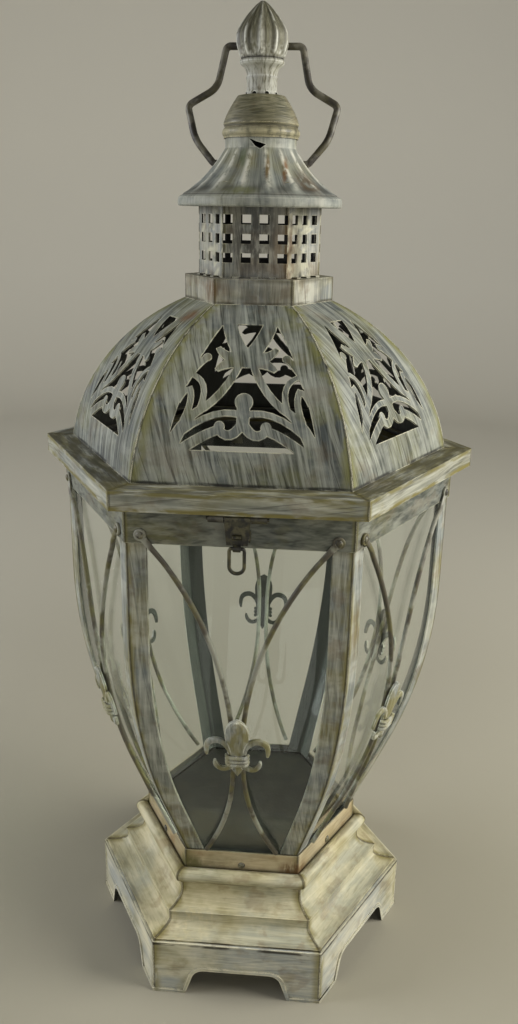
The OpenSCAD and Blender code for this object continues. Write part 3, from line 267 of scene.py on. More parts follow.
@dataclass(frozen=True)
class BrushedWash:
    """Blackened sheet steel under a thin white wash, put on with a dry brush.

    Broad strokes and hair lines run one way and let the dark steel through, blue-grey
    and olive brown clouds lie under them, dirt gathers beside the corners, painted shade
    from ambient occlusion darkens the creases and the places under and between parts,
    and the edges are rubbed pale. Matt, with a trace of relief in the strokes.
    """
    name: str
    brush: Brush = Brush.AROUND
    lie: Lie = Lie.SIDES
    under: str = "#30322c"
    body: str = "#74786f"
    cool: str = "#6b757a"
    wash: str = "#b9bbae"
    crease: str = "#26231a"
    olive: str = "#6f6a35"
    rust: str = "#624a26"
    edge: str = "#c6c3a8"
    # Colour of the faces that look towards the axis: bare inner sheet, and painted shade inside the lantern
    # and under the lid.
    lining_and_shade: Optional[str] = None
    cover: float = 0.5
    cool_share: float = 0.6
    olive_share: float = 0.5
    rust_share: float = 0.2
    edge_share: float = 0.6
    edge_reach: float = 1.0
    corner: float = 5.0
    streak: float = 0.75
    slant: float = 0.0
    rough: float = 0.6
    marks: tuple[Union[StainOrShade, DirtOrShadowLine], ...] = ()

    def material(self) -> bpy.types.Material:
        """Makes the finish.

        Returns:
            The material.
        """
        material, tree, surface = fresh_material(self.name)
        first = add(tree, "RGB")
        first.outputs[0].default_value = srgb(self.body)
        coats = Coats(tree, laid_out(tree, self.lie), first.outputs[0])
        broad = coats.pattern(self.brush.value, 0.38, 0.66, 3.0, 0.0, self.slant)
        medium = coats.pattern(self.strokes(0.5), 0.42, 0.66, 3.0, 13.0, self.slant + 3)
        hairs = coats.pattern(self.strokes(0.28), 0.45, 0.64, 2.0, 29.0, self.slant - 3)
        scratches = coats.pattern(self.strokes(0.25), 0.54, 0.66, 2.0, 47.0, self.slant + 8)
        coats.lay(self.cool, coats.weigh(coats.pattern((60.0, 60.0, 40.0), 0.42, 0.6, 2.0, 5.0),
                                         self.cool_share))
        coats.lay(self.olive, coats.weigh(coats.pattern((34.0, 34.0, 26.0), 0.46, 0.64, 3.0, 61.0),
                                          self.olive_share))
        coats.lay(self.wash, coats.weigh(coats.pattern((24.0, 30.0, 16.0), 0.4, 0.66, 4.0, 75.0), 0.45))
        coats.lay(self.under, coats.weigh(broad, (1 - self.cover) * self.streak))
        coats.lay(self.wash, coats.weigh(medium, self.cover * self.streak))
        coats.lay(self.under, coats.weigh(scratches, 0.15 + 0.5 * self.streak))
        coats.lay(self.wash, coats.weigh(hairs, 0.1 + 0.5 * self.streak * self.cover))
        coats.lay(self.rust, coats.weigh(coats.pattern((22.0, 22.0, 16.0), 0.54, 0.66, 4.0, 90.0),
                                         self.rust_share))
        self.rub(coats)
        for spot in self.marks:
            coats.lay(spot.code, spot.mask(coats))
        # Painted shade and bare inner sheet: a dark coat on the faces that look towards the axis.
        if self.lining_and_shade:
            coats.lay(self.lining_and_shade, self.inside(coats))
        relief = add(tree, "Bump", {"Height": hairs, "Strength": 0.4, "Distance": 0.15 * MM})
        dull = add(tree, "MapRange", {0: broad, 3: self.rough + 0.1, 4: self.rough - 0.1})
        shader = add(tree, "BsdfPrincipled", {"Base Color": coats.colour, "Roughness": dull.outputs[0],
                                              "Normal": relief.outputs[0], "Specular IOR Level": 0.35})
        tree.links.new(shader.outputs[0], surface)
        return material

    def strokes(self, share: float) -> list[float]:
        """Size of finer strokes as a share of the broad ones, whose length shrinks less."""
        return [length * (share if length < 20 else share ** 0.5) for length in self.brush.value]

    def rub(self, coats: Coats) -> None:
        """Darkens the corners with dirt, paints shade into the creases and under and between parts, and
        rubs the edges pale.
        """
        tree = coats.tree
        patchy = coats.pattern((8.0, 8.0, 20.0), 0.36, 0.58, 3.0, 111.0)
        if self.lie is Lie.SIDES:
            part = add(tree, "SeparateXYZ", {0: coats.place}).outputs
            aside = add(tree, "Math", {0: part["Y"]}, operation="ABSOLUTE").outputs[0]
            room = add(tree, "Math", {0: part["X"], 1: math.tan(math.pi / 6)}, operation="MULTIPLY")
            room = add(tree, "Math", {0: room.outputs[0], 1: aside}, operation="SUBTRACT").outputs[0]
            beside = add(tree, "MapRange", {0: room, 1: self.corner * MM, 2: 0.8 * MM},
                         interpolation_type="SMOOTHSTEP").outputs[0]
            coats.lay(self.olive, coats.weigh(coats.weigh(beside, patchy), 0.8))
            tight = add(tree, "MapRange", {0: room, 1: 1.5 * MM, 2: 0.7 * MM}).outputs[0]
            coats.lay(self.crease, coats.weigh(tight, 0.75))
        # Painted shade: ambient occlusion lays the crease colour into creases and places under and between
        # parts, where it also stands for grime.
        occlusion_shade = add(tree, "AmbientOcclusion", {"Distance": 9 * MM}, samples=6)
        crease = add(tree, "MapRange", {0: occlusion_shade.outputs["AO"], 1: 0.66, 2: 0.24},
                     interpolation_type="SMOOTHSTEP").outputs[0]
        rounded = add(tree, "Bevel", {"Radius": self.edge_reach * MM}, samples=6)
        true = add(tree, "NewGeometry")
        same = add(tree, "VectorMath", {0: rounded.outputs[0], 1: true.outputs["True Normal"]},
                   operation="DOT_PRODUCT")
        edge = add(tree, "MapRange", {0: same.outputs["Value"], 1: 0.985, 2: 0.9}).outputs[0]
        worn = coats.pattern((6.0, 6.0, 6.0), 0.32, 0.56, 3.0, 150.0)
        coats.lay(self.edge, coats.weigh(coats.weigh(edge, worn), self.edge_share))
        wear = add(tree, "Attribute", attribute_name="wear").outputs["Fac"]
        soil_and_shade = add(tree, "Attribute", attribute_name="soil_and_shade").outputs["Fac"]
        coats.lay(self.edge, coats.weigh(coats.weigh(wear, worn), 0.9))
        # Dark places stored on the mesh: dirt, and painted shade in recesses and under parts.
        coats.lay(self.crease, coats.weigh(soil_and_shade, 0.85))
        # The painted shade from the occlusion above, laid last.
        coats.lay(self.crease, coats.weigh(crease, 0.9))

    def inside(self, coats: Coats) -> Socket:
        """Finds the faces that look towards the lantern's axis.

        Args:
            coats: The coats of a piece that goes round the axis.

        Returns:
            A mask of the inner faces.
        """
        tree = coats.tree
        place = add(tree, "TexCoord").outputs["Object"]
        level = add(tree, "VectorMath", {0: place, 1: (1.0, 1.0, 0.0)}, operation="MULTIPLY")
        outward = add(tree, "VectorMath", {0: level.outputs[0]}, operation="NORMALIZE")
        true = add(tree, "NewGeometry")
        facing = add(tree, "VectorMath", {0: outward.outputs[0], 1: true.outputs["True Normal"]},
                     operation="DOT_PRODUCT")
        return add(tree, "MapRange", {0: facing.outputs["Value"], 1: -0.1, 2: -0.2}).outputs[0]


@dataclass(frozen=True)
class BlackenedSteel:
    """Forged wire and small hardware, blackened, with scraps of wash and a dull shine."""
    name: str
    body: str = "#2d2a24"
    scraps: str = "#8d8b7a"
    olive: str = "#5c5735"
    scrap_share: float = 0.5
    marks: float = 7.0
    rough: float = 0.5

    def material(self) -> bpy.types.Material:
        """Makes the finish.

        Returns:
            The material.
        """
        material, tree, surface = fresh_material(self.name)
        place = add(tree, "TexCoord").outputs["Object"]
        first = add(tree, "RGB")
        first.outputs[0].default_value = srgb(self.body)
        coats = Coats(tree, place, first.outputs[0])
        coats.lay(self.olive, coats.pattern((11.0, 11.0, 11.0), 0.45, 0.62, 3.0, 2.0))
        scraps = coats.pattern((self.marks,) * 3, 0.48, 0.6, 5.0)
        coats.lay(self.scraps, coats.weigh(scraps, self.scrap_share))
        hammer = coats.pattern((2.2, 2.2, 2.2), 0.2, 0.8, 2.0, 4.0)
        relief = add(tree, "Bump", {"Height": hammer, "Strength": 0.3, "Distance": 0.2 * MM})
        shader = add(tree, "BsdfPrincipled", {"Base Color": coats.colour, "Roughness": self.rough,
                                              "Normal": relief.outputs[0], "Specular IOR Level": 0.45})
        tree.links.new(shader.outputs[0], surface)
        return material


@dataclass(frozen=True)
class SheetGlass:
    """Clear float glass, 2 mm thick: almost unseen, with a breath of green along its edges.

    Its index is set below that of real glass, because the photograph shows hardly a reflection.
    """
    name: str = "sheet_glass"
    tint: str = "#fbfdfb"
    shade: str = "#f2f5f2"
    depth: str = "#b7d6c8"
    depth_density: float = 10.0
    index: float = 1.3

    def material(self) -> bpy.types.Material:
        """Makes the glass, which lets the studio's light straight through."""
        material, tree, surface = fresh_material(self.name)
        place = add(tree, "TexCoord").outputs["Object"]
        dust = Coats(tree, place, place).pattern((40.0, 40.0, 60.0), 0.45, 0.75, 4.0)
        rough = add(tree, "MapRange", {0: dust, 3: 0.0, 4: 0.012})
        glass = add(tree, "BsdfPrincipled", {"Base Color": srgb(self.tint), "Roughness": rough.outputs[0],
                                             "IOR": self.index, "Transmission Weight": 1.0})
        clear = add(tree, "BsdfTransparent", {"Color": srgb(self.shade)})
        path = add(tree, "LightPath")
        mixed = add(tree, "MixShader", {0: path.outputs["Is Shadow Ray"], 1: glass.outputs[0],
                                        2: clear.outputs[0]})
        tree.links.new(mixed.outputs[0], surface)
        inside = add(tree, "VolumeAbsorption", {"Color": srgb(self.depth), "Density": self.depth_density})
        output = next(node for node in tree.nodes if node.type == "OUTPUT_MATERIAL")
        tree.links.new(inside.outputs[0], output.inputs["Volume"])
        return material


# ---- Mesh tools ----

def finish_mesh(name: str, bm: bmesh.types.BMesh, smooth_below: float = 38.0) -> bpy.types.Object:
    """Turns a bmesh in metres into a piece at the origin.

    Args:
        name: The piece's name.
        bm: The mesh, which is freed.
        smooth_below: Angle in degrees below which two faces shade as one.

    Returns:
        The piece.
    """
    mesh = bpy.data.meshes.new(name)
    bm.to_mesh(mesh)
    bm.free()
    mesh.shade_smooth()
    mesh.set_sharp_from_angle(angle=math.radians(smooth_below))
    piece = bpy.data.objects.new(name, mesh)
    bpy.context.scene.collection.objects.link(piece)
    return piece


def dress(piece: bpy.types.Object, body: str, slot: str, material: bpy.types.Material,
          *nodes: str) -> bpy.types.Object:
    """Gives a piece its material and body, and hides the solids that it stands for.

    Args:
        piece: The finished piece.
        body: The body that it rides on.
        slot: A material slot's name, which is not used.
        material: Its material.
        *nodes: Solids that it replaces.

    Returns:
        The piece.
    """
    piece.data.materials.clear()
    piece.data.materials.append(material)
    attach(piece, body)
    if nodes:
        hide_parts(*nodes)
    log.info("%s rides on %s", piece.name, body)
    return piece


def welded(node: str) -> bmesh.types.BMesh:
    """Copies a solid and joins its loose triangles into whole flat faces.

    Args:
        node: The solid's name.

    Returns:
        The welded mesh in metres.
    """
    bm = bmesh.new()
    bm.from_mesh(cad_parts[node].data)
    bmesh.ops.remove_doubles(bm, verts=bm.verts, dist=0.002 * MM)
    bmesh.ops.dissolve_limit(bm, angle_limit=math.radians(0.4), verts=bm.verts, edges=bm.edges)
    return bm


def soften(bm: bmesh.types.BMesh, width: float, segments: int = 2, sharper: float = 30.0) -> None:
    """Rounds the sharp edges of a welded mesh, as folding and filing leave them.

    Args:
        bm: The mesh in metres.
        width: Width of the rounding in mm.
        segments: Steps across it.
        sharper: Only edges that turn more than this many degrees are rounded.
    """
    edges = [e for e in bm.edges if e.is_manifold and e.calc_face_angle() > math.radians(sharper)]
    bmesh.ops.bevel(bm, geom=edges, offset=width * MM, offset_type="OFFSET", segments=segments,
                    profile=0.5, affect="EDGES", clamp_overlap=True, material=-1)


def spun(profile: Sequence[Point], steps: int) -> bmesh.types.BMesh:
    """Spins an outline round the lantern's axis.

    Args:
        profile: Radius and height pairs in mm; an end on the axis closes the shape there.
        steps: Number of steps in the full turn.

    Returns:
        The spun mesh in mm.
    """
    bm = bmesh.new()
    verts = [bm.verts.new((r, 0.0, z)) for r, z in profile]
    edges = [bm.edges.new(pair) for pair in zip(verts, verts[1:])]
    bmesh.ops.spin(bm, geom=verts + edges, cent=(0, 0, 0), axis=(0, 0, 1), angle=math.tau,
                   steps=steps, use_merge=True, use_normal_flip=False, use_duplicate=False)
    bmesh.ops.remove_doubles(bm, verts=bm.verts, dist=0.001)
    bmesh.ops.recalc_face_normals(bm, faces=bm.faces)
    return bm


def to_metres(bm: bmesh.types.BMesh) -> bmesh.types.BMesh:
    """Scales a mesh from mm to metres."""
    bmesh.ops.scale(bm, vec=(MM, MM, MM), verts=bm.verts)
    return bm


def bent_wire(path: Sequence[Point], radius: float, closed: bool = False,
              sides: int = 12) -> bmesh.types.BMesh:
    """Makes a round wire along a path.

    Args:
        path: Points in mm.
        radius: The wire's radius in mm.
        closed: True where the wire is a loop.
        sides: Sides of its section.

    Returns:
        The wire's mesh in metres.
    """
    line = bpy.data.curves.new("wire_path", "CURVE")
    line.dimensions = "3D"
    line.bevel_depth = radius * MM
    line.bevel_resolution = sides // 4
    line.use_fill_caps = True
    spline = line.splines.new("POLY")
    spline.points.add(len(path) - 1)
    for point, place in zip(spline.points, path):
        point.co = (*(v * MM for v in place), 1.0)
    spline.use_cyclic_u = closed
    drawn = bpy.data.objects.new("wire_path", line)
    bpy.context.scene.collection.objects.link(drawn)
    mesh = bpy.data.meshes.new_from_object(drawn.evaluated_get(bpy.context.evaluated_depsgraph_get()))
    bpy.data.objects.remove(drawn)
    bm = bmesh.new()
    bm.from_mesh(mesh)
    bpy.data.meshes.remove(mesh)
    bpy.data.curves.remove(line)
    bmesh.ops.remove_doubles(bm, verts=bm.verts, dist=0.001 * MM)
    bmesh.ops.recalc_face_normals(bm, faces=bm.faces)
    return bm


def rounded_path(corners: Sequence[Point], radii: Sequence[float], steps: int = 8) -> list[Vector]:
    """Rounds the inner corners of a path.

    Args:
        corners: The path's corners in mm.
        radii: Radius in mm at each inner corner.
        steps: Steps in each bend.

    Returns:
        The path's points.
    """
    points = [Vector(c) for c in corners]
    path = [points[0]]
    for before, corner, after, radius in zip(points, points[1:], points[2:], radii):
        into, out = (before - corner).normalized(), (after - corner).normalized()
        half = into.angle(out) / 2
        centre = corner + (into + out).normalized() * radius / math.sin(half)
        start = corner + into * radius / math.tan(half) - centre
        end = corner + out * radius / math.tan(half) - centre
        path += [centre + start.slerp(end, k / steps).normalized() * radius for k in range(steps + 1)]
    return path + [points[-1]]


def curve_points(a: Point, b: Point, c: Point, steps: int = 8) -> list[tuple[float, ...]]:
    """Points of the curve from a to c that is pulled towards b."""
    shares = [k / steps for k in range(steps + 1)]
    return [tuple((1 - t) ** 2 * p + 2 * t * (1 - t) * q + t * t * r for p, q, r in zip(a, b, c))
            for t in shares]


def side_frame(side: int) -> Matrix:
    """The turn that takes a side's own directions (outward, along, up) to the lantern's."""
    return Matrix.Rotation(math.radians(30 + 60 * side), 4, "Z")


# ---- Finishes ----

BODY_FINISH = BrushedWash("washed_frame", Brush.SLOPE, olive="#7a7238", olive_share=0.6, corner=4.0,
                          rust_share=0.35, cover=0.6, wash="#c6c7ba", lining_and_shade="#31342f", streak=0.5,
                          marks=(DirtOrShadowLine("#5d5326", 330.0, 16.0, 0.6),
                                 StainOrShade("#7b6c2c", (54.0, -88.0, 262.0), (20.0, 20.0, 75.0), 0.6)))
BAND_FINISH = BrushedWash("washed_band", Brush.DABBED, body="#4f5349", cool="#464c4e", wash="#999b8e",
                          cover=0.4, lining_and_shade="#2a2a24", corner=3.0)
LEDGE_FINISH = BrushedWash("washed_ledge", Brush.AROUND, lining_and_shade="#2b2b25", corner=4.0, rust_share=0.25,
                           olive="#756c30", body="#858779", wash="#c4c4b5", marks=(
                               DirtOrShadowLine("#6f662c", 343.2, 2.6, 0.9), DirtOrShadowLine("#6b642e", 352.4, 2.2, 0.85),
                               DirtOrShadowLine("#201e14", 354.2, 1.5, 0.9)))
DOME_FINISH = BrushedWash("washed_dome", Brush.SLOPE, lining_and_shade="#22221d", edge="#d2cfb4",
                          body="#50554d", cool="#495156", wash="#a9aca0", edge_share=0.9,
                          under="#1d1f19", olive="#6f6e35", olive_share=0.5, slant=14.0, corner=9.0,
                          streak=0.9,
                          marks=(DirtOrShadowLine("#17160f", 354.2, 1.6, 0.9),
                                 StainOrShade("#6c4526", (-40.0, -40.0, 436.0), (14.0, 12.0, 7.0), 0.8)))
BOX_FINISH = BrushedWash("washed_box", Brush.UPRIGHT, lining_and_shade="#23231e", body="#79776a", wash="#c3c1b0",
                         rust_share=0.35, corner=2.0, streak=0.6, marks=(
                             DirtOrShadowLine("#3c3826", 441.8, 1.6, 0.8), DirtOrShadowLine("#4a4530", 455.0, 3.0, 0.6),
                             StainOrShade("#5d4526", (-28.0, -36.0, 449.0), (22.0, 12.0, 9.0), 0.8),
                             StainOrShade("#57513f", (4.0, -42.0, 447.0), (30.0, 10.0, 9.0), 0.6)))
CHIMNEY_FINISH = BrushedWash("washed_chimney", Brush.UPRIGHT, lining_and_shade="#1d1c19", body="#66645b",
                             wash="#b9b7a8", rust_share=0.35, corner=2.0, streak=0.7, marks=(
                                 # Painted shade: the canopy's shadow, darkening the chimney's front face.
                                 StainOrShade("#2b2923", (0.0, -33.0, 476.0), (26.0, 10.0, 30.0), 0.85),
                                 StainOrShade("#5d4526", (18.0, -28.0, 470.0), (13.0, 13.0, 26.0), 0.7)))
CANOPY_FINISH = BrushedWash("washed_canopy", Brush.SLOPE, Lie.ROUND, lining_and_shade="#1b1a17",
                            body="#666a62", cool="#60686b", wash="#a9aca0", streak=0.55,
                            edge="#cbcabb", edge_share=0.9, olive_share=0.55, rust_share=0.15, marks=(
                                StainOrShade("#5e4a20", (6.0, -28.0, 514.0), (1.8, 14.0, 12.0), 0.9),
                                StainOrShade("#6d4a24", (15.5, -25.0, 513.0), (2.2, 14.0, 13.0), 0.9),
                                StainOrShade("#5f6238", (-8.0, -42.0, 502.0), (14.0, 12.0, 4.0), 0.7),
                                StainOrShade("#4d5736", (-8.0, -24.0, 520.0), (3.0, 12.0, 8.0), 0.8),
                                StainOrShade("#51432f", (29.0, -22.0, 507.0), (13.0, 16.0, 13.0), 0.8)))
CAP_FINISH = BrushedWash("washed_cap", Brush.SPUN, Lie.ROUND, body="#4f4c34", cool="#444531",
                         wash="#97937a", olive="#4c4828", rust_share=0.2, cover=0.4, edge="#c9c09a",
                         rough=0.5)
FINIAL_FINISH = BrushedWash("washed_finial", Brush.UPRIGHT, Lie.ROUND, under="#25211a", body="#474531",
                            cool="#43412f", wash="#9a9983", olive="#4d4828", cover=0.34,
                            rust_share=0.3, edge="#cdcec3", edge_share=0.95, rough=0.5)
BASE_FINISH = BrushedWash("washed_base", Brush.AROUND, under="#7b775c", body="#b4ac88", cool="#979b8e",
                          wash="#ded6b3", crease="#33290f", olive="#7a7038", edge="#ded6b2",
                          cover=0.66, cool_share=0.75, olive_share=0.45, corner=7.0, streak=0.3,
                          rust_share=0.35, rust="#7b6440", marks=(
                              DirtOrShadowLine("#3b3014", 89.6, 1.3, 0.85), DirtOrShadowLine("#4a3f1c", 78.5, 2.0, 0.7),
                              # The second of these lines, at 40.6 mm, is painted shadow under the rolled
                              # edge of the plinth.
                              DirtOrShadowLine("#52481f", 67.2, 1.4, 0.6), DirtOrShadowLine("#2a2312", 40.6, 1.2, 0.9),
                              StainOrShade("#7f8683", (-30.0, -92.0, 50.0), (36.0, 20.0, 12.0), 0.85),
                              StainOrShade("#7f8683", (70.0, -60.0, 48.0), (26.0, 30.0, 9.0), 0.6),
                              # Painted shade dulling the right-hand faces of the base, which the key light
                              # lights strongly.
                              StainOrShade("#857e63", (84.0, -40.0, 60.0), (24.0, 42.0, 20.0), 0.55)))
SKIRT_FINISH = BrushedWash("washed_skirt", Brush.AROUND, lining_and_shade="#34332a", under="#5c6059",
                           body="#bcb89c", cool="#969c9b", wash="#e2dcc2", olive="#7c7440",
                           edge="#d8d3b8", edge_share=1.0, edge_reach=1.8, cover=0.55, cool_share=0.9,
                           corner=7.0, streak=0.3, rust_share=0.3, marks=(
                               # Painted shadow under the rolled edge of the plinth, along the top of the
                               # skirt.
                               DirtOrShadowLine("#1f1b10", 38.6, 1.6, 0.9),))
COLLAR_FINISH = BrushedWash("washed_collar", Brush.AROUND, under="#6d5c3c", body="#a5946f",
                            cool="#9b947c", wash="#d3c6a3", olive="#6f693c", rust="#7b5a33",
                            crease="#2f2a1a", rust_share=0.5, lining_and_shade="#35322a", streak=0.3, marks=(
                                StainOrShade("#5f4322", (34.0, -64.0, 79.0), (13.0, 20.0, 10.0), 0.9),
                                StainOrShade("#595730", (-34.0, -64.0, 79.0), (14.0, 20.0, 10.0), 0.85)))
LILY_FINISH = BrushedWash("washed_lily", Brush.UPRIGHT, under="#45463c", body="#8f9184",
                          wash="#bfc0b4", olive="#77713f", cover=0.5, rust_share=0.2, corner=0.5,
                          lining_and_shade="#3a3c35", edge="#dcdccf", edge_share=0.9)
WIRE_FINISH = BlackenedSteel("blackened_scroll_wire", "#4a4539", "#9b9c8f", "#5e5a38", 0.7, 30.0)
BAIL_FINISH = BlackenedSteel("blackened_bail", "#312d27", "#807d70", "#4b4734", 0.55, 10.0)
HASP_FINISH = BlackenedSteel("blackened_hasp", "#191814", "#77714f", "#3c3a25", 0.3, 5.0, 0.45)
HINGE_FINISH = BlackenedSteel("blackened_hinge", "#2a2822", "#6f6d5f", "#45422b", 0.35)
RIVET_FINISH = BlackenedSteel("blackened_rivets", "#35322a", "#8f8d7d", "#55502f", 0.5, 2.5)
FLOOR_FINISH = BlackenedSteel("blackened_floor", "#11130e", "#272a22", "#1f2016", 0.5, 24.0, 0.55)
GLASS = SheetGlass()


# ---- Sub-assemblies ----

@lru_cache(maxsize=None)
def paint(finish: Union[BrushedWash, BlackenedSteel, SheetGlass]) -> bpy.types.Material:
    """Makes each finish once."""
    return finish.material()


def cut(bm: bmesh.types.BMesh, tools: Iterable[bmesh.types.BMesh]) -> bmesh.types.BMesh:
    """Cuts holes into a closed mesh.

    Args:
        bm: The mesh, which is freed.
        tools: Closed meshes to take away, which are freed.

    Returns:
        The cut mesh.
    """
    def placed(shape: bmesh.types.BMesh) -> bpy.types.Object:
        """Lends a mesh an object while the cut is made."""
        mesh = bpy.data.meshes.new("cut")
        shape.to_mesh(mesh)
        shape.free()
        lent = bpy.data.objects.new("cut", mesh)
        bpy.context.scene.collection.objects.link(lent)
        return lent

    target = placed(bm)
    lent = [placed(tool) for tool in tools]
    for tool in lent:
        change = target.modifiers.new("cut", "BOOLEAN")
        change.operation, change.solver, change.object = "DIFFERENCE", "EXACT", tool
    view = target.evaluated_get(bpy.context.evaluated_depsgraph_get())
    result = bmesh.new()
    result.from_mesh(view.to_mesh())
    view.to_mesh_clear()
    for thing in (target, *lent):
        mesh = thing.data
        bpy.data.objects.remove(thing)
        bpy.data.meshes.remove(mesh)
    return result


def rod(radius: float, start: Point, end: Point, sides: int = 32) -> bmesh.types.BMesh:
    """Makes a straight round bar in mm."""
    bm = bmesh.new()
    axis = Vector(end) - Vector(start)
    place = Matrix.Translation((Vector(start) + Vector(end)) / 2) @ \
        axis.to_track_quat("Z", "Y").to_matrix().to_4x4()
    bmesh.ops.create_cone(bm, cap_ends=True, segments=sides, radius1=radius, radius2=radius,
                          depth=axis.length, matrix=place)
    return bm


def mark(bm: bmesh.types.BMesh, name: str, amount: Callable[[Vector], float]) -> None:
    """Stores a value for the finish at each vertex.

    Args:
        bm: The mesh.
        name: The attribute's name: wear for rubbed places, the other for dark places, which hold dirt and
            painted shade.
        amount: The value at a place.
    """
    layer = bm.verts.layers.float.new(name)
    for vert in bm.verts:
        vert[layer] = amount(vert.co)


def merge_into(bm: bmesh.types.BMesh, other: bmesh.types.BMesh, place: Matrix = Matrix()) -> None:
    """Adds a mesh to another at a place, and frees it."""
    mesh = bpy.data.meshes.new("merge")
    other.transform(place)
    other.to_mesh(mesh)
    other.free()
    bm.from_mesh(mesh)
    bpy.data.meshes.remove(mesh)


def clamp(value: float) -> float:
    """Keeps a share between 0 and 1."""
    return min(1.0, max(0.0, value))


def ridge(angle: float, count: int, sharpness: float = 2.0) -> float:
    """Height share of narrow ridges round the axis, at an angle in radians."""
    return ((1 - math.cos(angle * count)) / 2) ** sharpness


@dataclass
class Sheets:
    """Dresses folded sheet pieces that keep the solid model's own shape."""
    rounding: float = 0.28
    mitre_gap: float = 0.16

    def build(self, node: str, body: str, slot: str, finish: Union[BrushedWash, BlackenedSteel],
              rounding: Optional[float] = None, mitred: bool = False) -> bpy.types.Object:
        """Makes one softened copy of a solid.

        Args:
            node: The solid's name, which the piece replaces.
            body: The body that it rides on.
            slot: A material slot's name, passed on to dress.
            finish: Its finish.
            rounding: Width of its rounded edges in mm, if not the usual one.
            mitred: True where it is folded from one strip for each side.

        Returns:
            The piece.
        """
        bm = self.in_strips(node) if mitred else welded(node)
        soften(bm, rounding if rounding is not None else self.rounding)
        piece = finish_mesh(f"{node}_dressed", bm)
        weighted = piece.modifiers.new("flat_faces", "WEIGHTED_NORMAL")
        weighted.keep_sharp = True
        return dress(piece, body, slot, paint(finish), node)

    def in_strips(self, node: str) -> bmesh.types.BMesh:
        """Parts a solid that goes round the lantern at its mitred corners.

        Args:
            node: The solid's name.

        Returns:
            A mesh with one closed strip for each side.
        """
        whole = bmesh.new()
        for side in range(SIDES):
            strip = welded(node)
            for turn in (-30, 30):
                across = side_frame(side) @ Matrix.Rotation(math.radians(turn), 4, "Z") @ \
                    Vector((0, math.copysign(1, turn), 0))
                cut_edges = bmesh.ops.bisect_plane(
                    strip, geom=strip.verts[:] + strip.edges[:] + strip.faces[:], dist=1e-7,
                    plane_co=-across * self.mitre_gap / 2 * MM, plane_no=across, clear_outer=True)
                rim = [e for e in cut_edges["geom_cut"] if isinstance(e, bmesh.types.BMEdge)]
                bmesh.ops.holes_fill(strip, edges=rim, sides=0)
            if strip.faces:
                bmesh.ops.recalc_face_normals(strip, faces=strip.faces)
            merge_into(whole, strip)
        return whole


@dataclass
class GlazedBody:
    """The bowed outline of the glazed body: upright, an arc, then a straight slope."""
    flat: float = 106.1
    bow_top: float = 262.0
    bow_r: float = 340.0
    bow_angle: float = math.radians(21.5)
    pane_inset: float = 1.15
    pane_t: float = 2.0
    pane_z: tuple[float, float] = (86.1, 334.0)

    def tilt(self, z: float) -> float:
        """Slope of the outline at a height, in radians from upright."""
        drop = clamp((self.bow_top - z) / self.bow_r / math.sin(self.bow_angle))
        return math.asin(drop * math.sin(self.bow_angle))

    def half_width(self, z: float) -> float:
        """Half width across the sides at a height."""
        lean = self.tilt(z)
        below = max(0.0, self.bow_top - self.bow_r * math.sin(self.bow_angle) - z)
        return self.flat - self.bow_r * (1 - math.cos(lean)) - below * math.tan(self.bow_angle)

    def build_pane(self, side: int) -> bpy.types.Object:
        """Bends the pane of one side in a fine grid, so that it shows no facets.

        Args:
            side: The side's number.

        Returns:
            The pane.
        """
        bm = bmesh.new()
        bmesh.ops.create_grid(bm, x_segments=12, y_segments=96, size=1.0)
        inner = bmesh.ops.extrude_face_region(bm, geom=bm.faces[:])["geom"]
        inner = {v for v in inner if isinstance(v, bmesh.types.BMVert)}
        low, high = self.pane_z
        for vert in bm.verts:
            z = low + (high - low) * (vert.co.y + 1) / 2
            lean = self.tilt(z)
            inset = self.pane_inset + (self.pane_t if vert in inner else 0.0)
            x = self.half_width(z) - inset / math.cos(lean)
            vert.co = (x, vert.co.x * (x * math.tan(math.pi / 6) - 0.8), z)
        bmesh.ops.recalc_face_normals(bm, faces=bm.faces)
        to_metres(bm)
        bm.transform(side_frame(side))
        piece = finish_mesh(f"bent_pane_{side + 1}", bm, 30)
        return dress(piece, "base", "clear_glass", paint(GLASS), f"glass_pane_{side + 1}")


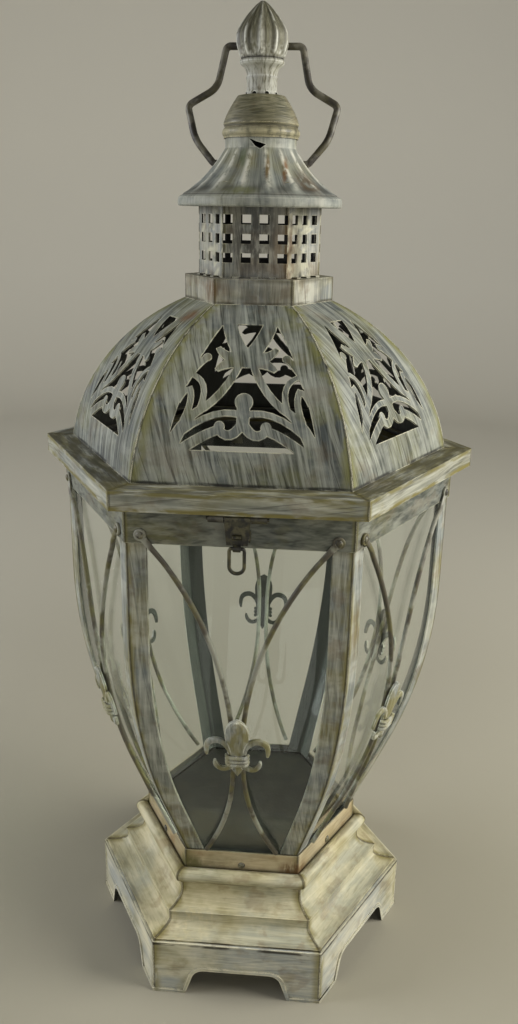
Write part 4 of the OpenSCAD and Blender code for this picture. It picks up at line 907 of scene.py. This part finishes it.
@dataclass
class ScrollWork:
    """The pair of bent wires on each side and the cast lily that ties them."""
    body: GlazedBody
    wire_r: float = 1.5
    waist: float = 3.0
    foot_z: float = 93.0
    tie_z: float = 187.5
    straight: float = 7.5
    eye_y: float = 53.03
    eye_z: float = 326.7
    foot_y: float = 22.8
    band_flat: float = 107.1
    band_bottom: float = 321.5
    cast_t: float = 2.6

    def sideways(self, z: float) -> float:
        """Distance of a wire from the middle of its side at a height."""
        aside = self.waist
        for run, away, reach in ((z - self.tie_z - self.straight, self.eye_y,
                                  self.eye_z - self.tie_z - self.straight),
                                 (self.tie_z - self.straight - z, self.foot_y,
                                  self.tie_z - self.straight - self.foot_z)):
            swing = away - self.waist
            radius = (reach ** 2 + swing ** 2) / (2 * swing)
            aside += radius - math.sqrt(radius ** 2 - max(0.0, run) ** 2)
        return aside

    def outward(self, z: float) -> float:
        """Distance of a wire from the lantern's axis at a height."""
        lie = self.wire_r + 0.1
        step = clamp((z - self.band_bottom + 10) / (10 - self.wire_r))
        return self.body.half_width(z) + lie / math.cos(self.body.tilt(z)) + \
            step * (self.band_flat - self.body.flat)

    def build_wires(self, side: int) -> bpy.types.Object:
        """Bends the two wires of a side and flattens their upper ends into eyes.

        Args:
            side: The side's number.

        Returns:
            The pair of wires.
        """
        pair = bmesh.new()
        top = self.eye_z - 2.0
        levels = [self.foot_z + (top - self.foot_z) * k / 72 for k in range(73)]
        for hand in (-1, 1):
            wire = bent_wire([(self.outward(z), hand * self.sideways(z), z) for z in levels],
                             self.wire_r, sides=16)
            seat = (self.band_flat + 0.1) * MM
            for vert in wire.verts:
                flat = clamp((vert.co.z / MM - top + 9) / 9) ** 2
                vert.co.x += flat * 0.5 * (seat + 0.2 * MM - vert.co.x) * \
                    clamp((vert.co.x - seat) / (2 * self.wire_r * MM))
                vert.co.y += flat * 0.35 * (vert.co.y - hand * self.sideways(vert.co.z / MM) * MM)
            eye = bmesh.new()
            place = Matrix.Translation((self.band_flat + 0.85, hand * self.eye_y, self.eye_z)) @ \
                Matrix.Rotation(math.pi / 2, 4, "Y")
            bmesh.ops.create_cone(eye, cap_ends=True, segments=32, radius1=3.4, radius2=3.4,
                                  depth=1.5, matrix=place)
            soften(to_metres(eye), 0.4, 3)
            merge_into(pair, wire)
            merge_into(pair, eye)
        pair.transform(side_frame(side))
        piece = finish_mesh(f"wire_pair_{side + 1}", pair)
        return dress(piece, "base", "scroll_wire", paint(WIRE_FINISH), f"scroll_wires_{side + 1}")

    def petal(self, bm: bmesh.types.BMesh, line: Sequence[Point], widths: Sequence[float],
              crown: float, grooves: int = 0) -> None:
        """Adds a cast leaf with a domed face and a flat back.

        Args:
            bm: The lily's mesh in mm, as (outward, along, up) round its tie.
            line: The leaf's middle line as (along, up) points.
            widths: Its width at each point.
            crown: Rise of its face in the middle.
            grooves: Number of fine grooves along it.
        """
        leaf = bmesh.new()
        across, last = (16 if grooves else 8), len(line) - 1
        bmesh.ops.create_grid(leaf, x_segments=across, y_segments=2 * last, size=1.0)
        for vert in leaf.verts:
            u, t = vert.co.x, (vert.co.y + 1) / 2 * last
            i = min(int(t), last - 1)
            share = t - i
            start, end = Vector(line[i]), Vector(line[i + 1])
            before, after = Vector(line[max(i - 1, 0)]), Vector(line[min(i + 2, last)])
            way = (end - before).lerp(after - start, share).normalized()
            middle = start.lerp(end, share)
            wide = (widths[i] + (widths[i + 1] - widths[i]) * share) / 2
            rise = crown * (1 - u * u) * clamp(wide / 1.4) + \
                0.16 * math.cos(u * math.pi * (grooves + 0.5)) * (grooves > 0)
            vert.co = (self.cast_t * 0.62 + rise, middle.x - way.y * u * wide, middle.y + way.x * u * wide)
        faces = bmesh.ops.extrude_face_region(leaf, geom=leaf.faces[:])
        for vert in (v for v in faces["geom"] if isinstance(v, bmesh.types.BMVert)):
            vert.co.x = 0.0
        bmesh.ops.recalc_face_normals(leaf, faces=leaf.faces)
        soften(leaf, 350.0, 2, 50.0)
        merge_into(bm, leaf)

    def build_lily(self, side: int) -> bpy.types.Object:
        """Casts the lily of a side.

        Args:
            side: The side's number.

        Returns:
            The lily.
        """
        bm = bmesh.new()
        spine = [(0.0, s) for s in (-2, 4, 10, 16, 19, 22, 25, 27.5, 29.3, 30.6)]
        self.petal(bm, spine, (8.8, 10.8, 12.4, 13.6, 14.0, 13.4, 11.8, 9.2, 5.4, 0.4), 1.3, 3)
        tail = [(0.0, s) for s in (2, -1, -4, -7, -10, -12, -13.6)]
        self.petal(bm, tail, (10.0, 9.8, 9.2, 7.6, 4.8, 2.4, 0.3), 1.0)
        for hand in (-1, 1):
            arm = curve_points((3, 3.6), (6.5, 15.4), (13, 14.4)) + \
                curve_points((14.6, 13.9), (19.2, 12.2), (17.7, 3.2), 6)
            wide = [3.2 + 0.7 * k / 8 for k in range(9)] + [3.9, 3.8, 3.6, 3.2, 2.9, 2.6, 1.4]
            self.petal(bm, [(hand * y, z) for y, z in arm], wide, 0.8)
            curl = curve_points((3, -5.6), (9.2, -11.4), (12.6, -5.4)) + [(13.3, -3.4), (13.4, -1.4)]
            self.petal(bm, [(hand * y, z) for y, z in curl], [3.0] * 7 + [2.8, 2.7, 2.3, 1.2], 0.7)
        for drop in (-2.7, 0.0, 2.7):
            band = rounded_path([(0.4, -6.1, drop), (3.3, -5.6, drop), (3.3, 5.6, drop), (0.4, 6.1, drop)],
                                [2.2, 2.2])
            merge_into(bm, bent_wire(band, 1.3, sides=12), Matrix.Scale(1 / MM, 4))
        lean = self.body.tilt(self.tie_z)
        front = self.body.half_width(self.tie_z) + 2 * (self.wire_r + 0.1) / math.cos(lean)
        to_metres(bm)
        bm.transform(side_frame(side) @ Matrix.Translation((front * MM, 0, self.tie_z * MM)) @
                     Matrix.Rotation(lean, 4, "Y"))
        piece = finish_mesh(f"cast_lily_{side + 1}", bm, 50)
        return dress(piece, "base", "pale_leaf", paint(LILY_FINISH), f"lily_{side + 1}")


@dataclass
class BellCanopy:
    """The spun bell canopy with its flutes, its cap, and the bail that swings in it."""
    rim_r: float = 47.8
    rim_z: float = 493.7
    rim_h: float = 6.9
    neck_r: float = 20.4
    neck_z: float = 525.0
    top: float = 532.6
    flank_r: float = 48.5
    flutes: int = 16
    ridge_h: float = 1.6
    sheet: float = 0.9
    pivot_z: float = 517.0
    cap_top: float = 552.6
    cap_top_r: float = 13.2

    @property
    def flank_z(self) -> float:
        """Height where the flank leaves the rim."""
        return self.rim_z + self.rim_h

    def flank(self, z: float) -> float:
        """Radius of the bare flank at a height."""
        neck, foot = Vector((self.neck_r, self.neck_z)), Vector((self.rim_r - self.rim_h / 2, self.flank_z))
        chord = foot - neck
        aside = Vector((-chord.y, chord.x)).normalized()
        centre = (neck + foot) / 2 + aside * math.sqrt(self.flank_r ** 2 - chord.length_squared / 4)
        return centre.x - math.sqrt(self.flank_r ** 2 - (centre.y - z) ** 2)

    def share(self, z: float) -> float:
        """Share of the way up the flank."""
        return (z - self.flank_z) / (self.neck_z - self.flank_z)

    def lift(self, co: Vector) -> float:
        """How far the flutes move a point of the flank outwards, in mm."""
        t = self.share(co.z)
        if not -0.02 <= t <= 1:
            return 0.0
        crest = ridge(math.atan2(co.y, co.x), self.flutes, 1.6)
        high = self.ridge_h * clamp(5 * t) * (1 - t ** 4)
        fan = 0.9 * (1 - crest) * math.exp(-((t - 0.13) / 0.09) ** 2)
        return high * crest - fan * clamp(14 * t)

    def build_canopy(self) -> bpy.types.Object:
        """Spins the bell, presses its flutes, and cuts the bail's holes and the slit.

        Returns:
            The canopy.
        """
        rim = [(self.rim_r - 1.5, -0.2), (self.rim_r - 0.6, 0.0), (self.rim_r - 0.1, 0.7),
               (self.rim_r, 1.6), (self.rim_r - 0.15, 3.2), (self.rim_r - 0.5, 4.6),
               (self.rim_r - 1.5, 5.5), (self.rim_r - 2.6, 5.9), (self.rim_r - 3.1, 6.3)]
        profile = [(r, self.rim_z + z) for r, z in rim]
        levels = [self.flank_z + (self.neck_z - self.flank_z) * k / 30 for k in range(31)]
        profile += [(self.flank(z), z) for z in levels] + [(self.neck_r, self.top)]
        bm = spun(profile, self.flutes * 14)
        for vert in bm.verts:
            moved = self.lift(vert.co)
            flat = Vector((vert.co.x, vert.co.y, 0))
            vert.co += flat.normalized() * moved
        if bm.faces[0].normal.dot(bm.faces[0].calc_center_median()) < 0:
            bmesh.ops.reverse_faces(bm, faces=bm.faces)
        bmesh.ops.solidify(bm, geom=bm.faces[:], thickness=self.sheet)
        bmesh.ops.recalc_face_normals(bm, faces=bm.faces)
        slit = bmesh.new()
        z = self.top - 3.0
        corners = [slit.verts.new((x, -self.neck_r + 6, h)) for x, h in
                   ((-5.0, z - 0.3), (-1.0, z - 1.8), (4.4, z - 3.3), (1.2, z - 5.6), (-1.6, z - 4.2))]
        face = slit.faces.new(corners)
        pushed = bmesh.ops.extrude_face_region(slit, geom=[face])
        for vert in (v for v in pushed["geom"] if isinstance(v, bmesh.types.BMVert)):
            vert.co.y -= 24
        bmesh.ops.recalc_face_normals(slit, faces=slit.faces)
        holes = [rod(2.6, (hand * 24, 0, self.pivot_z), (hand * 40, 0, self.pivot_z)) for hand in (-1, 1)]
        bm = cut(bm, [slit, *holes])
        mark(bm, "wear", self.rubbed)
        mark(bm, "soil_and_shade", self.soiled_and_shaded)
        piece = finish_mesh("bell_canopy", to_metres(bm), 42)
        return dress(piece, "lid", "washed_metal", paint(CANOPY_FINISH), "canopy")

    def rubbed(self, co: Vector) -> float:
        """How pale the wash is rubbed at a place: along the ridges and the rim."""
        t = self.share(co.z)
        crest = ridge(math.atan2(co.y, co.x), self.flutes, 5)
        return crest * clamp(4 * t) * clamp(8 * (1 - t)) if 0 < t < 1 else 0.15

    def soiled_and_shaded(self, co: Vector) -> float:
        """How dark a place is drawn, with dirt and painted shade: in the recessed fans at the foot of the
        flutes and along the crease where the flank leaves the rim.
        """
        t = self.share(co.z)
        hollow = 1 - ridge(math.atan2(co.y, co.x), self.flutes, 1.2)
        fans = hollow * math.exp(-((t - 0.1) / 0.1) ** 2)
        line = math.exp(-((t + 0.02) / 0.018) ** 2)
        return clamp(0.75 * fans + 0.8 * line)

    def build_cap(self) -> bpy.types.Object:
        """Spins the cap with its bead and the fine lines that the tool left.

        Returns:
            The cap.
        """
        bottom, bead_r, out = self.top - 2.5, 3.0, self.neck_r + 1.8
        middle = (out - bead_r, bottom + bead_r)
        bead = [(middle[0] + bead_r * math.cos(a), middle[1] + bead_r * math.sin(a))
                for a in (math.radians(-45 + 7.5 * k) for k in range(15))]
        shoulder = middle[1] + bead_r
        rise = self.cap_top - shoulder
        knots = [(out - 1.15, shoulder + 0.03 * rise), (out - 0.7, shoulder + 0.09 * rise),
                 *curve_points((out - 0.9, shoulder + 0.16 * rise), (out - 2.6, shoulder + 0.48 * rise),
                               (self.cap_top_r + 0.9, self.cap_top - 0.9), 6)]
        cone = []
        for (r0, z0), (r1, z1) in zip(knots, knots[1:]):
            steps = max(2, round((z1 - z0) / 0.45))
            cone += [(r0 + (r1 - r0) * k / steps - 0.09 * (k % 2), z0 + (z1 - z0) * k / steps)
                     for k in range(steps)]
        top = [knots[-1], (self.cap_top_r + 0.25, self.cap_top - 0.2), (self.cap_top_r - 0.5, self.cap_top),
               (2.6, self.cap_top)]
        profile = [(self.neck_r + 0.1, bottom), (bead[0][0], bottom)] + bead + cone + top
        bm = spun(profile, 160)
        mark(bm, "wear", lambda co: 0.5 * clamp(1 - abs(co.z - middle[1]) / bead_r))
        mark(bm, "soil_and_shade", lambda co: 0.8 * math.exp(-((co.z - shoulder - 0.1) / 0.7) ** 2))
        piece = finish_mesh("spun_cap", to_metres(bm), 50)
        return dress(piece, "lid", "cap_metal", paint(CAP_FINISH), "canopy_cap")

    def build_bail(self) -> bpy.types.Object:
        """Bends the bail, which leans on the back of the finial.

        Returns:
            The bail.
        """
        length = 65.8
        lean = math.asin(17.3 / length)
        out = self.flank(self.pivot_z)
        half = [(out - 6, 0), (out + 2.4, 0), (38.4, 13.5), (43.2, 32.5), (26.4, 42.3), (21.8, length)]
        bends = [2.4, 24, 4, 12, 3]
        corners = [(x, s, 0) for x, s in half] + [(-x, s, 0) for x, s in reversed(half)]
        path = rounded_path(corners, bends + bends[::-1], 10)
        steel = bent_wire([(p.x, p.y * math.sin(lean), self.pivot_z + p.y * math.cos(lean)) for p in path],
                          2.0, sides=20)
        for vert in steel.verts:
            dent = noise.noise(vert.co * 90) * 0.16 * MM
            vert.co += vert.normal * dent
        piece = finish_mesh("bail_wire", steel, 60)
        return dress(piece, "bail", "dark_metal", paint(BAIL_FINISH), "bail")


@dataclass
class Finial:
    """The cast bud on the cap: a notched foot, a necked stem, a cup and a ribbed bulb."""
    foot_z: float = 552.6
    stem_h: float = 18.6
    bulb_h: float = 28.8
    bulb_r: float = 15.0
    lobes: int = 10
    groove: float = 1.6
    notches: int = 8

    def outline(self, t: float) -> float:
        """Radius of the bulb, as a share, at a share of its height."""
        knots = [(0, 0.8), (0.05, 0.86), (0.14, 0.93), (0.25, 0.985), (0.33, 1.0), (0.42, 0.985),
                 (0.5, 0.93), (0.6, 0.81), (0.72, 0.64), (0.84, 0.43), (0.93, 0.26), (1.0, 0.08)]
        for (t0, r0), (t1, r1) in zip(knots, knots[1:]):
            if t <= t1:
                share = (t - t0) / (t1 - t0)
                return r0 + (r1 - r0) * share
        return knots[-1][1]

    def build(self) -> bpy.types.Object:
        """Casts the finial.

        Returns:
            The finial.
        """
        foot = 0.61 * self.bulb_r
        bottom, h = self.foot_z, self.stem_h
        waist = curve_points((0.94 * foot, 0.12), (0.88 * foot, 0.34), (foot - 0.2, 0.5), 6)
        flare = curve_points((0.92 * foot, 0.54), (0.96 * foot, 0.72), (0.72 * self.bulb_r, 0.8), 6)
        lip = 0.82 * self.bulb_r
        stem = [(0.0, 0.0), (foot, 0.0), (foot + 0.1, 0.03), (foot, 0.08), *waist, *flare,
                (lip, 0.86), (lip + 0.3, 0.91), (lip, 0.96), (lip - 0.7, 1.0), (0.0, 1.01)]
        bm = spun([(r, bottom + s * h) for r, s in stem], 96)
        cuts = []
        for k in range(self.notches):
            way = Vector((1, 0, 0))
            way.rotate(Matrix.Rotation(math.tau * (k + 0.5) / self.notches, 3, "Z"))
            at = Vector((0, 0, bottom + 0.4))
            cuts.append(rod(1.3, at + way * (foot - 2), at + way * (foot + 3), 16))
        bm = cut(bm, cuts)
        low = bottom + h
        shares = [k / 44 for k in range(45)]
        bulb = spun([(0.0, low)] + [(self.outline(t) * self.bulb_r, low + 0.02 + t * self.bulb_h)
                                    for t in shares] + [(0.0, low + self.bulb_h)], self.lobes * 16)
        for vert in bulb.verts:
            t = (vert.co.z - low) / self.bulb_h
            round_axis = math.atan2(vert.co.y, vert.co.x)
            deep = self.groove * clamp(1.15 * self.outline(clamp(t))) * clamp(6 * t + 0.2)
            crest = ridge(round_axis, self.lobes, 2.4)
            belly = 0.35 * ridge(round_axis + math.pi / self.lobes, self.lobes, 1.0) * clamp(3 * t)
            flat = Vector((vert.co.x, vert.co.y, 0))
            if flat.length > 0.1:
                vert.co += flat.normalized() * (deep * (crest + belly * (1 - crest) - 1))
        bmesh.ops.recalc_face_normals(bulb, faces=bulb.faces)
        merge_into(bm, bulb)
        mark(bm, "wear", lambda co: self.rubbed(co, low))
        mark(bm, "soil_and_shade", lambda co: self.soiled_and_shaded(co, low))
        piece = finish_mesh("cast_finial", to_metres(bm), 60)
        return dress(piece, "lid", "cap_metal", paint(FINIAL_FINISH), "finial")

    def rubbed(self, co: Vector, low: float) -> float:
        """How pale the wash is at a place: all the stem, and the bulb's narrow ribs."""
        t = (co.z - low) / self.bulb_h
        if t <= 0.0:
            return 0.55
        crest = ridge(math.atan2(co.y, co.x), self.lobes, 8)
        speckled = clamp(0.5 + 1.6 * noise.noise(co * 0.7)) * clamp(1 - t / 0.34)
        return clamp(crest * clamp(1.2 - t) + 0.85 * speckled)

    def soiled_and_shaded(self, co: Vector, low: float) -> float:
        """How dark a place is drawn: painted shade under the bulb and in the stem's neck, and dirt and
        shade in the channels beside the ribs.
        """
        t = (co.z - low) / self.bulb_h
        gap = math.exp(-((co.z - low) / 0.8) ** 2) + 0.5 * math.exp(-((co.z - low + 9.3) / 0.7) ** 2)
        side_of_rib = 4 * ridge(math.atan2(co.y, co.x), self.lobes, 1.5) * \
            (1 - ridge(math.atan2(co.y, co.x), self.lobes, 1.5))
        return clamp(gap + 0.55 * side_of_rib * clamp(4 * t))


@dataclass
class Hasp:
    """The hasp's pull ring."""
    x: float = 117.28
    z: float = 324.8
    wire_r: float = 1.0
    half: float = 4.0
    length: float = 14.0

    def build_ring(self) -> bpy.types.Object:
        """Bends the closed ring.

        Returns:
            The ring.
        """
        foot = -self.length + self.half
        corners = [(-self.half, foot, 0), (-self.half, 0, 0), (self.half, 0, 0), (self.half, foot, 0)]
        upper = rounded_path(corners, [1.5, 1.5], 6)
        lower = [Vector((self.half * math.cos(a), foot + self.half * math.sin(a), 0))
                 for a in (-math.pi * k / 16 for k in range(1, 16))]
        path = [(p.x, -self.x, self.z + p.y) for p in (*upper, *lower)]
        piece = finish_mesh("pull_ring", bent_wire(path, self.wire_r, True, 12), 60)
        return dress(piece, "ring", "dark_metal", paint(HASP_FINISH), "hasp_ring")


@dataclass
class Studio:
    """Seamless paper all round the lantern, soft lights and the photograph's camera."""
    floor_r: float = 1700.0
    bend_r: float = 700.0
    wall_h: float = 2600.0
    floor: str = "#9c9888"
    wall: str = "#d6d3c8"

    def build(self) -> None:
        """Sets the stage."""
        self.build_paper()
        self.build_lights()
        self.build_camera()

    def build_paper(self) -> None:
        """Curves the paper up from the floor into a round wall."""
        arc = [(self.floor_r + self.bend_r * math.sin(a), self.bend_r * (1 - math.cos(a)))
               for a in (math.pi / 2 * k / 16 for k in range(17))]
        bm = spun([(0.0, 0.0), *arc, (self.floor_r + self.bend_r, self.wall_h)], 96)
        if bm.faces[0].calc_center_median().z > 0 or bm.faces[0].normal.z < 0:
            bmesh.ops.reverse_faces(bm, faces=bm.faces)
        sweep = finish_mesh("paper_sweep", to_metres(bm), 60)
        # Plain matt studio paper in a warm grey.
        material, tree, surface = fresh_material("studio_paper")
        away = add(tree, "VectorMath", {0: add(tree, "TexCoord").outputs["Object"]}, operation="LENGTH")
        far = add(tree, "MapRange", {0: away.outputs["Value"], 1: 0.2, 2: 2.3}).outputs[0]
        tone = add(tree, "Mix", {0: far, 6: srgb(self.floor), 7: srgb(self.wall)}, data_type="RGBA")
        shader = add(tree, "BsdfPrincipled", {"Base Color": tone.outputs[2], "Roughness": 0.95,
                                              "Specular IOR Level": 0.1})
        tree.links.new(shader.outputs[0], surface)
        sweep.data.materials.append(material)

    def build_lights(self) -> None:
        """Hangs a key light on the right and gentle fills, over a grey sky."""
        for name, place, size, power, colour in (
                ("key", (1.15, -0.12, 0.80), 0.8, 22.5, "#fffcf6"),
                ("fill", (-1.5, -0.15, 0.78), 1.0, 20.0, "#f6f8ff"),
                ("front", (0.2, -1.5, 0.6), 1.2, 3.2, "#ffffff"),
                ("backdrop", (0.0, 0.6, 1.0), 1.4, 2.5, "#ffffff")):
            lamp = bpy.data.lights.new(name, "AREA")
            lamp.shape, lamp.size, lamp.energy, lamp.color = "DISK", size, power, srgb(colour)[:3]
            light = bpy.data.objects.new(name, lamp)
            light.location = place
            aim = Vector((0, 2.4, 0.6)) if name == "backdrop" else Vector((0, 0, 0.4))
            light.rotation_euler = (aim - Vector(place)).to_track_quat("-Z", "Y").to_euler()
            light.visible_camera = False
            bpy.context.scene.collection.objects.link(light)
        world = bpy.data.worlds.new("sky")
        world.use_nodes = True
        world.node_tree.nodes["Background"].inputs["Color"].default_value = srgb("#c9ccc6")
        world.node_tree.nodes["Background"].inputs["Strength"].default_value = 0.12
        bpy.context.scene.world = world
        bpy.context.scene.view_settings.view_transform = "Standard"

    def build_camera(self) -> None:
        """Puts the camera where the photograph was taken."""
        yaw, pitch, roll = (math.radians(a) for a in (4.159, 18.680, 1.0366))
        forward = Vector((-math.sin(yaw) * math.cos(pitch), math.cos(yaw) * math.cos(pitch),
                          -math.sin(pitch)))
        right = Vector((math.cos(yaw), math.sin(yaw), 0))
        up = right.cross(forward)
        across = math.cos(roll) * right + math.sin(roll) * up
        above = -math.sin(roll) * right + math.cos(roll) * up
        data = bpy.data.cameras.new("photograph")
        data.lens, data.sensor_width, data.sensor_fit = 31.41, 36.0, "AUTO"
        data.clip_start = 0.01
        camera = bpy.data.objects.new("photograph", data)
        camera.matrix_world = Matrix((across, above, -forward)).transposed().to_4x4()
        camera.location = (0.04266, -0.54938, 0.49199)
        bpy.context.scene.collection.objects.link(camera)
        bpy.context.scene.camera = camera


# ---- The whole lantern ----

def dress_sheets() -> None:
    """Dresses every piece that keeps the solid model's own shape."""
    sheets = Sheets()
    for half in ("front", "back"):
        sheets.build(f"foot_skirt_{half}", "base", "base_metal", SKIRT_FINISH)
    sheets.build("base_plinth", "base", "base_metal", BASE_FINISH, mitred=True)
    sheets.build("bead_ring", "base", "base_metal", BASE_FINISH)
    sheets.build("base_collar", "base", "collar_metal", COLLAR_FINISH)
    sheets.build("floor_plate", "base", "dark_metal", FLOOR_FINISH)
    sheets.build("collar_screws", "base", "dark_metal", RIVET_FINISH, rounding=0.1)
    sheets.build("top_band", "base", "washed_metal", BAND_FINISH)
    sheets.build("glass_clips", "base", "dark_metal", HINGE_FINISH, rounding=0.15)
    sheets.build("band_rivets", "base", "dark_metal", RIVET_FINISH, rounding=0.1)
    sheets.build("hinge_lower_leaf", "base", "dark_metal", HINGE_FINISH, rounding=0.15)
    sheets.build("hinge_pin", "base", "dark_metal", HINGE_FINISH, rounding=0.15)
    sheets.build("hasp_keeper", "base", "dark_metal", HASP_FINISH, rounding=0.15)
    for side in range(SIDES):
        sheets.build(f"corner_post_{side + 1}", "base", "washed_metal", BODY_FINISH)
        sheets.build(f"dome_panel_{side + 1}", "lid", "washed_metal", DOME_FINISH, 0.22)
    sheets.build("ledge_rim", "lid", "washed_metal", LEDGE_FINISH, mitred=True)
    sheets.build("dome_box", "lid", "washed_metal", BOX_FINISH)
    sheets.build("chimney", "lid", "washed_metal", CHIMNEY_FINISH, rounding=0.2)
    sheets.build("finial_rod", "lid", "dark_metal", HINGE_FINISH)
    sheets.build("finial_nut", "lid", "dark_metal", HINGE_FINISH)
    sheets.build("hinge_upper_leaf", "lid", "dark_metal", HINGE_FINISH, rounding=0.15)
    sheets.build("lid_rivets", "lid", "dark_metal", RIVET_FINISH, rounding=0.1)
    sheets.build("hasp_bracket", "lid", "washed_metal", HINGE_FINISH, rounding=0.15)
    sheets.build("hasp_pin", "lid", "dark_metal", HASP_FINISH, rounding=0.1)
    sheets.build("hasp_tongue", "hasp", "dark_metal", HASP_FINISH, rounding=0.2)


def main() -> None:
    """Builds the lantern and its stage in order."""
    dress_sheets()
    body = GlazedBody()
    scroll = ScrollWork(body)
    for side in range(SIDES):
        body.build_pane(side)
        scroll.build_wires(side)
        scroll.build_lily(side)
    canopy = BellCanopy()
    canopy.build_canopy()
    canopy.build_cap()
    canopy.build_bail()
    Finial().build()
    Hasp().build_ring()
    Studio().build()


if __name__ == "__main__":
    logging.basicConfig(level=logging.INFO, format="%(message)s")
    main()
